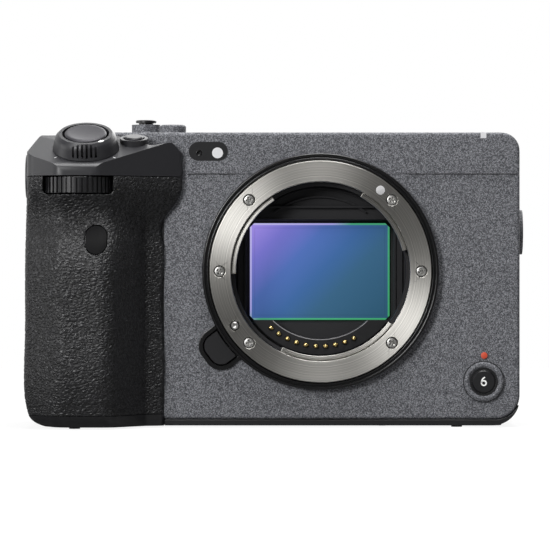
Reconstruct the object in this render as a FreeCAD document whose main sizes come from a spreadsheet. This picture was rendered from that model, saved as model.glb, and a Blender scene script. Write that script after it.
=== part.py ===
"""Cinema camera body, seen as it stands on a table.

The lens looks along -Y, +X is to the right of someone who faces the lens, and +Z is up.
The origin is the mouth of the tripod socket, below the lens axis. Lengths are millimetres.
"""

import FreeCAD, Part
import math
import os

import Sketcher
from FreeCAD import Placement, Rotation, Vector

SIZES = {
    # Covers
    "lens_height": 39.6,  # lens axis above the base
    "body_right": 51.3,  # lens axis to the right side
    "body_left": 74.6,  # lens axis to the left side, behind the grip
    "body_height": 75.4,
    "front_depth": 26.0,  # tripod socket to the front face
    "rear_depth": 22.0,  # tripod socket to the rear face
    "parting_depth": 8.0,  # tripod socket forward to the joint of front and rear covers
    "seam_height": 64.7,  # joint of the covers with the top cover
    "wall": 1.7,
    "corner_top": 4.7,
    "corner_top_left": 10.4,
    "corner_bottom": 7.0,
    "corner_cover": 6.2,
    "corner_left": 5.6,
    "edge_round": 0.9,
    "seam_gap": 0.1,  # left at each joint of two covers
    "running_gap": 0.3,  # left round everything that moves
    # Bottom plate and feet
    "plate_thickness": 1.5,
    "plate_lip": 5.2,  # height to which the plate climbs the corner
    "plate_blank": 20.0,
    "foot_radius": 1.4,
    "foot_height": 0.5,
    "foot_right": 35.3,
    "foot_left": 62.8,
    "foot_front": 20.5,
    "foot_grip": 34.0,
    "foot_rear": 17.0,
    # Tripod and accessory threads, 1/4 inch
    "thread_radius": 3.175,
    "thread_depth": 5.5,
    "insert_wall": 1.5,
    "insert_floor": 1.0,
    "boss_wall": 1.1,
    "boss_floor": 0.3,
    "top_thread_left": 21.0,
    "top_thread_left_depth": 4.0,
    "top_thread_right": 36.0,
    "top_thread_front": 12.0,
    "top_thread_rear": 12.0,
    # Lens mount
    "flange_depth": 29.0,  # tripod socket to the flange face
    "throat_radius": 23.05,
    "flange_radius": 28.45,
    "spigot_wall": 1.25,
    "spigot_length": 2.5,
    "pad_depth": 6.0,
    "trim_radius": 30.4,
    "trim_height": 2.1,
    "claw_radius": 21.7,
    "claw_thickness": 1.5,
    "claw_setback": 0.9,
    "claw_root": 0.2,
    "claw_groove": 0.3,
    "claw_groove_depth": 0.7,
    "screw_circle": 25.9,
    "screw_head": 1.45,
    "screw_head_depth": 1.1,
    "screw_shank": 0.85,
    "screw_length": 6.5,
    "screw_floor": 1.0,
    "screw_drive": 0.55,
    "screw_drive_floor": 0.5,
    "lock_pin_angle": 212.3,
    "lock_pin_circle": 26.0,
    "lock_pin_radius": 0.95,
    "lock_pin_proud": 1.2,
    "lock_pin_length": 7.0,
    "lock_pin_room": 2.0,
    # Lens release button
    "release_angle": 217.4,
    "release_reach": 37.4,  # lens axis to the outer edge of the surround
    "release_inner": 25.9,
    "release_setback": 0.2,
    "release_notch": 0.6,
    "release_half": 5.55,
    "release_corner": 4.4,
    "release_rim": 1.2,
    "release_rim_height": 0.6,
    "release_proud": 1.4,
    "release_depth": 3.5,
    "release_travel": 1.0,
    # Light baffle and contacts
    "baffle_wall": 0.9,
    "baffle_plate": 1.4,
    "baffle_plate_radius": 29.5,
    "baffle_short": 0.4,
    "gate_half_width": 19.1,
    "gate_half_height": 13.3,
    "contact_inner": 17.4,
    "contact_outer": 21.4,
    "contact_front": 23.4,
    "contact_circle": 19.3,
    "contact_ends": 12.5,  # lens axis down to the block's level ends
    "contact_count": 10,
    "contact_first": 228.9,
    "contact_step": 7.53,
    "contact_radius": 0.62,
    "contact_proud": 0.9,
    "contact_length": 2.6,
    "contact_floor": 0.5,
    "contact_fit": 0.08,
    # Shutter
    "shutter_half": 29.0,
    "shutter_top": 29.0,  # lens axis up to the top of the frame
    "shutter_bottom": 16.0,
    "shutter_thickness": 3.2,
    "shutter_plate": 0.7,
    "shutter_side_wall": 2.0,
    "shutter_low_wall": 1.5,
    "shutter_high_wall": 0.8,
    "blade_thickness": 0.2,
    "blade_gap": 0.35,
    "blade_height": 14.0,
    "blade_half": 21.0,
    "blade_rest": 0.5,
    # Image sensor and stabiliser
    "sensor_plane": 11.0,
    "sensor_half_width": 18.2,
    "sensor_half_height": 12.6,
    "sensor_corner": 1.0,
    "sensor_glass": 0.8,
    "sensor_lift": 0.7,
    "die_inset": 0.6,
    "die_corner": 0.4,
    "package_half_width": 21.5,
    "package_half_height": 16.0,
    "package_thickness": 1.6,
    "stage_half_width": 27.0,
    "stage_half_height": 21.0,
    "stage_thickness": 1.6,
    "yoke_half_width": 33.5,
    "yoke_half_height": 24.5,
    "yoke_thickness": 1.8,
    "yoke_gap": 0.7,
    "yoke_window": 12.0,
    "post_across": 31.2,
    "post_rise": 19.5,
    "post_radius": 1.7,
    # Electronics and cooling
    "board_thickness": 1.2,
    "board_gap": 0.8,
    "board_left": 36.0,
    "board_right": 40.0,
    "board_bottom": 10.0,
    "board_top": 62.0,
    "chip_half": 7.0,
    "chip_thickness": 1.1,
    "fan_half": 18.0,
    "fan_depth": 8.0,
    "fan_across": 8.0,
    "fan_height": 40.0,
    "fan_wall": 1.2,
    "outlet_low": 8.0,
    "outlet_high": 12.0,
    "rotor_radius": 14.0,
    "rotor_hub": 5.5,
    "rotor_blade": 0.8,
    "rotor_room": 0.4,
    "blade_root": 0.6,
    "blade_inset": 0.4,
    "rotor_count": 11,
    # Grip
    "grip_edge": 40.2,  # lens axis to the joint of grip and front cover
    "grip_back": 12.6,
    "rubber": 0.9,
    "end_slant": 0.5,
    "end_depth": 0.8,
    "end_round": 0.6,
    "end_inset": 0.6,  # share of the rubber's thickness taken off each corner
    "slant_inset": 0.9,
    "finger_inset": 0.2,
    "brow_share": 6.0,
    "brow_round": 2.0,
    "finger_round": 5.0,
    "brow_across": 44.8,
    "finger_left": 66.7,
    "rubber_back": 2.0,
    "rubber_corner": 1.0,
    "remote_across": 56.9,
    "remote_height": 47.6,
    "remote_radius": 2.65,
    "remote_straight": 0.95,
    "remote_depth": 38.0,
    # Hood over the grip
    "deck_tilt": 25.7,
    "deck_height": 74.8,  # sloping deck at the plane of the front face
    "hood_left": 74.9,
    "hood_flare": 35.4,  # lens axis to the hood's right end
    "hood_end_height": 68.6,
    "hood_notch": 43.5,
    "hood_notch_height": 71.8,
    "hood_top": 74.6,
    "hood_notch_round": 4.0,
    "hood_top_round": 1.0,
    "hood_side_round": 2.0,
    "hood_top_right": 52.5,
    "hood_top_left": 71.9,
    "hood_crest": 38.0,
    "hood_crest_height": 72.7,
    "hood_crest_round": 1.2,
    "hood_edge_round": 2.6,
    "hood_overlap": 2.0,
    "hood_shoulder": 73.1,
    "hood_shoulder_height": 72.8,
    "hood_side_height": 68.3,
    # Battery
    "battery_width": 22.7,
    "battery_depth": 38.7,
    "battery_height": 51.7,
    "battery_right": 47.2,
    "battery_back": 11.4,
    "battery_bottom": 3.1,
    "battery_gap": 0.35,
    "battery_corner": 2.0,
    "strip_side": 5.0,
    "strip_front": 3.0,
    "strip_rear": 8.0,
    "strip_depth": 1.0,
    "door_margin": 0.4,
    "door_thickness": 2.3,
    "door_round": 0.7,
    # Zoom lever and shutter button
    "lever_across": 59.9,
    "lever_forward": 33.9,
    "lever_base": 8.5,
    "lever_rim": 7.35,
    "lever_height": 4.2,
    "lever_flank": 0.35,
    "lever_chamfer": 0.5,
    "lever_chamfer_height": 0.9,
    "lever_lift": 0.15,
    "lever_bore": 6.0,
    "lever_post": 5.85,
    "lever_post_height": 1.9,
    "ridge_pitch": 1.15,
    "ridge_groove": 0.55,
    "ridge_depth": 0.45,
    "ridge_foot": 0.75,
    "shutter_radius": 5.35,
    "shutter_proud": 0.25,
    "button_edge": 0.3,
    "button_round": 0.4,
    "shutter_cap": 1.1,
    "shutter_stem": 1.5,
    "shutter_stem_depth": 4.0,
    "shutter_bore_depth": 5.5,
    # Button on the deck
    "perch_tilt": 15.0,
    "perch_across": 47.8,
    "perch_forward": 30.0,
    "perch_height": 72.9,
    "perch_button": 2.5,
    "perch_collar": 3.55,
    "perch_collar_height": 0.9,
    "perch_sunk": 1.6,
    "perch_room": 0.7,
    "perch_proud": 0.5,
    # Dials
    "dial_axle": 1.5,
    "axle_length": 9.5,
    "axle_fit": 0.05,
    "dial_teeth": 44,
    "tooth_depth": 0.5,
    "tooth_width": 0.6,
    "front_dial_across": 61.65,
    "front_dial_forward": 34.2,
    "front_dial_radius": 9.4,
    "front_dial_low": 59.5,
    "front_dial_thickness": 4.1,
    "dial_window_corner": 1.3,
    "dial_window_depth": 4.0,
    "dial_window_half": 8.95,
    "front_axle_low": 57.0,
    "rear_dial_across": 62.0,
    "rear_dial_back": 15.0,
    "rear_dial_radius": 9.0,
    "rear_dial_low": 66.5,
    "rear_dial_thickness": 4.0,
    "rear_axle_low": 65.0,
    "hub_wall": 2.0,
    "wheel_across": 54.0,
    "wheel_height": 26.0,
    "wheel_radius": 11.0,
    "wheel_bore": 5.2,
    "wheel_edge": 0.8,
    "wheel_dish": 1.2,
    "wheel_dish_depth": 0.5,
    "wheel_notches": 32,
    "notch_radius": 0.7,
    "notch_offset": 0.25,
    "centre_rise": 0.3,
    "centre_dish": 0.2,
    "wheel_proud": 1.6,
    "wheel_sunk": 0.9,
    # Small parts of the front
    "record_across": 42.0,
    "record_height": 11.3,
    "record_collar": 5.2,
    "record_collar_proud": 0.5,
    "record_button": 3.05,
    "record_proud": 0.9,
    "record_depth": 3.2,
    "focus_across": 28.8,
    "focus_height": 70.5,
    "focus_half": 2.6,
    "focus_radius": 2.45,
    "focus_depth": 1.2,
    "lamp_across": 26.45,
    "lamp_height": 70.1,
    "lamp_radius": 1.4,
    "lamp_depth": 0.8,
    "microphone_across": 31.2,
    "microphone_height": 70.1,
    "microphone_radius": 0.55,
    "microphone_depth": 0.6,
    "tally_across": 41.95,
    "tally_width": 1.5,
    "tally_drop": 1.5,
    "tally_length": 9.0,
    # Thread bosses on the sides
    "right_boss_proud": 1.1,
    "right_boss_length": 5.5,
    "right_boss_height": 49.8,
    "right_boss_forward": 16.5,
    "left_boss_radius": 6.35,
    "left_boss_proud": 2.8,
    "left_boss_length": 6.9,
    "left_boss_chamfer": 0.7,
    "left_boss_height": 64.7,
    "left_boss_back": 2.0,
    # Top controls
    "stick_across": 45.5,
    "stick_forward": 5.0,
    "stick_cap": 2.7,
    "stick_cap_height": 0.7,
    "stick_top": 79.3,
    "stick_collar": 3.75,
    "stick_collar_top": 78.1,
    "stick_collar_bore": 3.1,
    "stick_stem": 1.0,
    "stick_neck": 1.9,
    "stick_pivot": 72.4,
    "stick_ball": 1.6,
    "stick_neck_low": 1.6,
    "cap_edge": 0.25,
    "cap_edge_height": 0.15,
    "cap_dish": 0.1,
    "collar_root": 0.5,
    "well_floor": 2.2,
    "well_wall": 1.2,
    "well_low": 1.6,
    "well_high": 1.0,
    "gimbal_radius": 2.9,
    "gimbal_height": 1.4,
    "gimbal_wall": 1.0,
    "top_button_across": 38.2,
    "top_button_forward": 14.5,
    "top_button_radius": 3.4,
    "top_button_top": 77.7,
    "top_button_depth": 1.4,
    "button_travel": 0.6,
    "switch_across": 61.0,
    "switch_back": 3.5,
    "switch_half": 3.5,
    "switch_corner": 1.0,
    "switch_width": 3.2,
    "switch_sunk": 1.0,
    "switch_proud": 1.0,
    "switch_travel": 3.0,
    # Accessory shoe
    "shoe_across": 6.0,
    "shoe_front": 9.5,
    "shoe_length": 18.5,
    "shoe_half": 10.8,
    "shoe_slot_half": 9.35,
    "shoe_mouth_half": 6.35,
    "shoe_floor": 71.7,
    "shoe_base": 0.8,
    "shoe_slot": 2.1,
    "shoe_lip": 0.6,
    "shoe_fit": 0.15,
    # Monitor
    "monitor_left": 30.5,
    "monitor_right": 43.5,
    "monitor_bottom": 7.0,
    "monitor_top": 62.0,
    "monitor_thickness": 8.5,
    "monitor_gap": 0.5,
    "monitor_corner": 3.5,
    "glass_thickness": 1.2,
    "glass_margin": 1.6,
    "hinge_across": 47.6,
    "hinge_radius": 2.6,
    "hinge_pin": 1.0,
    "hinge_fit": 0.05,
    "hinge_ear": 4.5,
    "hinge_low": 12.0,
    "hinge_high": 57.0,
    "hinge_web": 2.6,
    "hinge_overlap": 2.0,
    "hinge_narrow": 0.6,
    "hinge_pin_inset": 1.0,
    # Rear buttons and thumb rest
    "rear_button_radius": 2.7,
    "rear_button_proud": 0.9,
    "rear_button_depth": 1.0,
    "menu_across": 36.8,
    "menu_height": 56.0,
    "play_across": 36.8,
    "play_height": 10.0,
    "thumb_low": 41.0,
    "thumb_high": 62.0,
    "thumb_reach": 38.2,
    "thumb_slant": 0.6,
    "thumb_round": 1.0,
    "thumb_hollow": 56.5,
    "thumb_hollow_round": 6.0,
    "thumb_ridge_round": 2.0,
    "thumb_end": 72.8,
    "thumb_end_reach": 24.6,
    "thumb_end_round": 1.5,
    "thumb_left": 73.6,
    "thumb_ridge_left": 52.2,
    "thumb_ridge_right": 46.8,
    "thumb_right": 43.0,
    "thumb_base": 27.0,
    # Side doors and sockets
    "skin": 1.5,
    "door_end_gap": 0.02,
    "doors_front": 1.3,
    "doors_rear": 18.7,
    "audio_low": 35.8,
    "audio_high": 46.7,
    "video_low": 9.8,
    "video_high": 33.2,
    "vent_low": 50.5,
    "vent_pitch": 2.4,
    "vent_slot": 1.1,
    "vent_count": 5,
    "vent_front": 3.0,
    "vent_rear": 17.0,
    "block_depth": 7.5,
    "jack_radius": 1.8,
    "jack_depth": 6.0,
    "jack_height": 41.2,
    "block_front": 2.0,
    "block_rear": 18.0,
    "card_front": 13.9,
    "card_rear": 20.6,
    "card_low": 19.5,
    "card_high": 49.5,
    "cage_right": 42.0,
    "card_slot": 1.9,
    "card_wall": 0.55,
    "card_end": 2.5,
    "card_floor": 2.0,
}

# Each level of the grip: height, forward reach, left side and right end of its outline,
# how far the brow beside the fingers stands forward, where the front begins to slant back
# towards the brow, and the length of the left corner
GRIP_LEVELS = [
    (0.0, 40.2, 70.6, 40.2, 2.9, 53.2, 8.5),
    (1.2, 42.0, 73.2, 40.2, 2.9, 53.2, 8.5),
    (2.9, 43.5, 74.6, 40.2, 2.9, 53.2, 8.5),
    (6.5, 44.9, 75.4, 40.2, 2.9, 53.2, 8.5),
    (24.0, 46.3, 75.4, 40.2, 2.9, 53.2, 8.5),
    (38.0, 46.0, 75.4, 40.2, 2.9, 53.2, 8.5),
    (47.0, 43.6, 75.4, 40.2, 3.0, 53.3, 8.3),
    (53.0, 40.3, 75.4, 40.0, 3.8, 53.9, 7.4),
    (57.0, 41.2, 75.2, 37.2, 6.4, 55.4, 6.6),
    (60.0, 42.8, 75.0, 35.6, 8.1, 56.6, 6.2),
    (63.9, 43.0, 74.9, 35.4, 8.6, 56.8, 6.0),
]
GRIP_WORDS = ("height", "reach", "side", "end", "brow", "finger", "corner")
for level, values in enumerate(GRIP_LEVELS):
    for word, value in zip(GRIP_WORDS, values):
        SIZES[f"grip_{word}_{level}"] = value

doc = FreeCAD.newDocument("cinema_camera")
sheet = doc.addObject("Spreadsheet::Sheet", "sizes")
for row, (alias, number) in enumerate(SIZES.items(), 1):
    sheet.set(f"A{row}", alias)
    sheet.set(f"B{row}", str(number))
    sheet.setAlias(f"B{row}", alias)
doc.recompute()


class Size:
    """A length or angle: its number now, and the formula on the sheet's cells that gives it."""

    def __init__(self, number, formula):
        self.number = float(number)
        self.formula = formula

    def __add__(self, other):
        other = as_size(other)
        return Size(self.number + other.number, f"({self.formula} + {other.formula})")

    def __radd__(self, other):
        return as_size(other) + self

    def __sub__(self, other):
        other = as_size(other)
        return Size(self.number - other.number, f"({self.formula} - {other.formula})")

    def __rsub__(self, other):
        return as_size(other) - self

    def __mul__(self, other):
        other = as_size(other)
        return Size(self.number * other.number, f"({self.formula} * {other.formula})")

    def __rmul__(self, other):
        return as_size(other) * self

    def __truediv__(self, other):
        other = as_size(other)
        return Size(self.number / other.number, f"({self.formula} / {other.formula})")

    def __neg__(self):
        return Size(-self.number, f"(0 - {self.formula})")


def as_size(value):
    return value if isinstance(value, Size) else Size(value, repr(float(value)))


def cell(alias):
    return Size(SIZES[alias], f"sizes.{alias}")


class Sizes:
    """Gives each cell of the sheet as an attribute."""

    def __getattr__(self, alias):
        return cell(alias)


size = Sizes()


def sine(angle):
    return Size(math.sin(math.radians(angle.number)), f"sin({angle.formula} * 1deg)")


def cosine(angle):
    return Size(math.cos(math.radians(angle.number)), f"cos({angle.formula} * 1deg)")


def bind(thing, path, value):
    """Ties one property of an object to the sheet."""
    thing.setExpression(path, as_size(value).formula)


# Each facing turns a drawing's own x, y and height into the camera's axes.
FACINGS = {
    "top": (Vector(0, 0, 1), 0.0),
    "front": (Vector(1, 0, 0), 90.0),
    "rear": (Vector(0, 1, 1), 180.0),
    "right": (Vector(1, 1, 1), 120.0),
    "left": (Vector(1, -1, -1), 120.0),
    "deck": (Vector(1, 0, 0), SIZES["deck_tilt"]),
    "perch": (Vector(1, 0, 0), SIZES["perch_tilt"]),
}


def place(thing, facing, origin=(0, 0, 0)):
    """Turns a thing to its facing and ties its origin to the sheet."""
    axis, angle = FACINGS[facing]
    numbers = [as_size(v).number for v in origin]
    thing.Placement = Placement(Vector(*numbers), Rotation(axis, angle))
    for letter, value in zip("xyz", origin):
        bind(thing, f"Placement.Base.{letter}", value)
    if facing in ("deck", "perch"):
        bind(thing, "Placement.Rotation.Angle", cell(f"{facing}_tilt"))


def raised(facing, origin, height):
    """The point that lies a height above an origin along a facing."""
    x, y, z = (as_size(v) for v in origin)
    height = as_size(height)
    if facing in ("deck", "perch"):
        tilt = cell(f"{facing}_tilt")
        return (x, y - height * sine(tilt), z + height * cosine(tilt))
    moved = {
        "top": (x, y, z + height),
        "front": (x, y - height, z),
        "rear": (x, y + height, z),
        "right": (x + height, y, z),
        "left": (x - height, y, z),
    }
    return moved[facing]


def fix_point(sketch, geometry, position, x, y):
    """Holds one point of a drawing at x, y."""
    for kind, value in (("DistanceX", as_size(x)), ("DistanceY", as_size(y))):
        index = sketch.addConstraint(
            Sketcher.Constraint(kind, -1, 1, geometry, position, value.number)
        )
        bind(sketch, f"Constraints[{index}]", value)


def fix_radius(sketch, geometry, radius):
    radius = as_size(radius)
    index = sketch.addConstraint(Sketcher.Constraint("Radius", geometry, radius.number))
    bind(sketch, f"Constraints[{index}]", radius)


def circle(x, y, radius):
    """Draws a circle."""

    def draw(sketch):
        centre = Vector(as_size(x).number, as_size(y).number, 0)
        shape = Part.Circle(centre, Vector(0, 0, 1), as_size(radius).number)
        index = sketch.addGeometry(shape, False)
        fix_point(sketch, index, 3, x, y)
        fix_radius(sketch, index, radius)

    return draw


def several(*drawings):
    """Draws several closed outlines in one sketch."""

    def draw(sketch):
        for drawing in drawings:
            drawing(sketch)

    return draw


def stadium(x0, y0, x1, y1, radius):
    """Draws a slot with round ends centred on two points."""

    def draw(sketch):
        a = Vector(as_size(x0).number, as_size(y0).number, 0)
        b = Vector(as_size(x1).number, as_size(y1).number, 0)
        r = as_size(radius).number
        along = (b - a).normalize()
        side = Vector(-along.y, along.x, 0) * r
        ends = []
        for centre, way in ((a, -1), (b, 1)):
            arc = Part.Arc(centre + side, centre + along * r * way, centre - side)
            index = sketch.addGeometry(arc, False)
            ends.append((index, centre))
            fix_radius(sketch, index, radius)
        fix_point(sketch, ends[0][0], 3, x0, y0)
        fix_point(sketch, ends[1][0], 3, x1, y1)
        for way in (1, -1):
            line = sketch.addGeometry(Part.LineSegment(a + side * way, b + side * way), False)
            for point, (arc, centre) in zip((1, 2), ends):
                corner = centre + side * way
                near = 1 if (sketch.getPoint(arc, 1) - corner).Length < r / 2 else 2
                sketch.addConstraint(Sketcher.Constraint("Tangent", line, point, arc, near))

    return draw


def outline(*corners):
    """Draws a closed outline through corners (x, y) or (x, y, radius of the round)."""

    def draw(sketch):
        count = len(corners)
        points = [Vector(as_size(c[0]).number, as_size(c[1]).number, 0) for c in corners]
        rounds = [as_size(c[2]) if len(c) > 2 else None for c in corners]
        marks, before, after = [], [], []
        for i, (corner, point) in enumerate(zip(corners, points)):
            mark = sketch.addGeometry(Part.Point(point), True)
            fix_point(sketch, mark, 1, corner[0], corner[1])
            marks.append(mark)
            back = (points[i - 1] - point).normalize()
            on = (points[(i + 1) % count] - point).normalize()
            reach = 0.0
            if rounds[i]:
                reach = rounds[i].number / math.tan(back.getAngle(on) / 2)
            before.append(point + back * reach)
            after.append(point + on * reach)
        lines = []
        for i in range(count):
            j = (i + 1) % count
            lines.append(sketch.addGeometry(Part.LineSegment(after[i], before[j]), False))
        for i in range(count):
            last, here = lines[i - 1], lines[i]
            if not rounds[i]:
                for line, end in ((last, 2), (here, 1)):
                    sketch.addConstraint(Sketcher.Constraint("Coincident", line, end, marks[i], 1))
                continue
            for line in (last, here):
                sketch.addConstraint(Sketcher.Constraint("PointOnObject", marks[i], 1, line))
            back = (points[i - 1] - points[i]).normalize()
            on = (points[(i + 1) % count] - points[i]).normalize()
            inward = (back + on).normalize()
            r = rounds[i].number
            near = points[i] + inward * (r / math.sin(back.getAngle(on) / 2) - r)
            arc = sketch.addGeometry(Part.Arc(before[i], near, after[i]), False)
            gap = (sketch.getPoint(arc, 1) - before[i]).Length
            first, second = (1, 2) if gap < (sketch.getPoint(arc, 1) - after[i]).Length else (2, 1)
            sketch.addConstraint(Sketcher.Constraint("Tangent", last, 2, arc, first))
            sketch.addConstraint(Sketcher.Constraint("Tangent", here, 1, arc, second))
            fix_radius(sketch, arc, rounds[i])

    return draw


def rectangle(x0, y0, x1, y1, radius=None):
    """Draws a rectangle from its low to its high corner, with round corners if a radius is given."""
    corners = [(x0, y0), (x1, y0), (x1, y1), (x0, y1)]
    if radius is not None:
        corners = [(*c, radius) for c in corners]
    return outline(*corners)


names_used = {}


def fresh(name):
    """A name for a construction feature that no other has."""
    names_used[name] = names_used.get(name, 0) + 1
    return f"{name}_{names_used[name]}"


class Body:
    """A piece made by sketched features in its own facing frame."""

    def __init__(self, name, facing="top", origin=(0, 0, 0)):
        self.name = name
        self.body = doc.addObject("PartDesign::Body", name)
        place(self.body, facing, origin)

    def sketch(self, draw, height=0, role="XY_Plane"):
        sketch = self.body.newObject("Sketcher::SketchObject", fresh(self.name + "_sketch"))
        plane = [f for f in self.body.Origin.OriginFeatures if f.Role == role][0]
        sketch.AttachmentSupport = [(plane, "")]
        sketch.MapMode = "FlatFace"
        bind(sketch, "AttachmentOffset.Base.z", height)
        draw(sketch)
        return sketch

    def feature(self, kind, sketch):
        made = self.body.newObject("PartDesign::" + kind, fresh(self.name + "_" + kind.lower()))
        made.Profile = sketch
        sketch.Visibility = False
        return made

    def pad(self, draw, start, length):
        """Adds the drawn shape from a height upwards."""
        made = self.feature("Pad", self.sketch(draw, start))
        bind(made, "Length", length)
        return made

    def pocket(self, draw, top, depth):
        """Cuts the drawn shape from a height downwards."""
        made = self.feature("Pocket", self.sketch(draw, top))
        bind(made, "Length", depth)
        return made

    def turn(self, *profile):
        """Adds a ring or disc whose half section is drawn in radius and height."""
        sketch = self.sketch(outline(*profile), role="XZ_Plane")
        made = self.feature("Revolution", sketch)
        made.ReferenceAxis = (sketch, ["V_Axis"])
        made.Angle = 360
        return made

    def repeat(self, feature, count):
        """Repeats a feature evenly round the piece's axis."""
        made = self.body.newObject("PartDesign::PolarPattern", fresh(self.name + "_pattern"))
        made.Originals = [feature]
        plane = [f for f in self.body.Origin.OriginFeatures if f.Role == "Z_Axis"][0]
        made.Axis = (plane, [""])
        made.Angle = 360
        made.Occurrences = int(count)
        self.body.Tip = made
        return made

    def round_off(self, kind, amount, wanted):
        """Rounds or bevels the edges that wanted() picks, by their points in the piece's frame."""
        doc.recompute()
        base = self.body.Tip
        picked = []
        for index, edge in enumerate(base.Shape.Edges, 1):
            if wanted(edge):
                picked.append(f"Edge{index}")
        if not picked:
            raise ValueError(f"{self.name}: no edge to {kind.lower()}")
        made = self.body.newObject("PartDesign::" + kind, fresh(self.name + "_" + kind.lower()))
        made.Base = (base, picked)
        bind(made, "Radius" if kind == "Fillet" else "Size", amount)
        return made


hair = 0.01  # how near its height an edge has to lie to be picked


def at_height(height, tolerance=hair):
    """Picks the edges that lie wholly at a height of the piece's own frame."""
    level = as_size(height).number

    def wanted(edge):
        box = edge.BoundBox
        return abs(box.ZMin - level) < tolerance and abs(box.ZMax - level) < tolerance

    return wanted


def prism(name, facing, draw, start, length, origin=(0, 0, 0)):
    """A drawn outline carried from a height along its facing."""
    sketch = doc.addObject("Sketcher::SketchObject", fresh(name + "_sketch"))
    place(sketch, facing, raised(facing, origin, start))
    draw(sketch)
    made = doc.addObject("Part::Extrusion", fresh(name))
    made.Base = sketch
    made.DirMode = "Normal"
    made.Solid = True
    bind(made, "LengthFwd", length)
    return made


def block(name, low, high):
    """A box between two corners."""
    made = doc.addObject("Part::Box", fresh(name))
    for side, a, b in zip(("Length", "Width", "Height"), low, high):
        bind(made, side, as_size(b) - as_size(a))
    place(made, "top", low)
    return made


def rod(name, facing, origin, radius, length):
    """A cylinder that starts at a point and runs along its facing."""
    made = doc.addObject("Part::Cylinder", fresh(name))
    bind(made, "Radius", radius)
    bind(made, "Height", length)
    place(made, facing, origin)
    return made


def together(name, *pieces):
    """Several shapes joined in one."""
    if len(pieces) == 1:
        return pieces[0]
    made = doc.addObject("Part::MultiFuse", fresh(name))
    made.Shapes = list(pieces)
    return made


def minus(name, base, *tools):
    """A shape with others cut out of it."""
    made = doc.addObject("Part::Cut", fresh(name))
    made.Base = base
    made.Tool = together(name + "_tools", *tools)
    return made


def meet(name, base, tool):
    """What two shapes share."""
    made = doc.addObject("Part::Common", fresh(name))
    made.Base = base
    made.Tool = tool
    return made


nodes = {}


def node(name, thing):
    """Names one finished piece of the camera."""
    thing = thing.body if isinstance(thing, Body) else thing
    thing.Label = name
    nodes[name] = thing
    return thing


gap = size.seam_gap
play = size.running_gap
axis_height = size.lens_height
front_face = size.front_depth
insert_radius = size.thread_radius + size.insert_wall
insert_length = size.thread_depth + size.insert_floor
boss_radius = insert_radius + size.boss_wall
flange_low = front_face  # the flange's back lies on the front face
spigot_radius = size.throat_radius + size.spigot_wall
pad_back = front_face - size.pad_depth
cover_low = size.plate_thickness + gap
cover_high = size.seam_height - gap / 2
top_low = size.seam_height + gap / 2
right_boss_face = size.body_right + size.right_boss_proud
lens = (0, 0, axis_height)
over = 1  # how far a cutter runs past the face that it opens
through = 80  # length of a cutter that leaves the camera


def around(angle, radius):
    """A point of the front at an angle and radius from the lens axis, anticlockwise."""
    return radius * cosine(angle), axis_height + radius * sine(angle)


def ring(name, facing, origin, outer, inner, length):
    """A tube."""
    hole = rod(name + "_hole", facing, raised(facing, origin, -over), inner, length + over * 2)
    return minus(name, rod(name + "_outer", facing, origin, outer, length), hole)


def front_rod(name, angle, circle_radius, low, radius, length):
    """A cylinder along the lens axis, at an angle and radius from it."""
    x, z = around(angle, circle_radius)
    return rod(name, "front", (x, -as_size(low), z), radius, length)


def release_outline(reach, half, corner):
    """Outline of the release button, a rounded block that stands out from the mount."""
    angle = size.release_angle
    inner = size.release_inner

    def corner_at(along, side):
        x = along * cosine(angle) - side * sine(angle)
        y = axis_height + along * sine(angle) + side * cosine(angle)
        return x, y

    return outline(
        corner_at(inner, -half),
        (*corner_at(reach, -half), corner),
        (*corner_at(reach, half), corner),
        corner_at(inner, half),
    )


# Front cover


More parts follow.
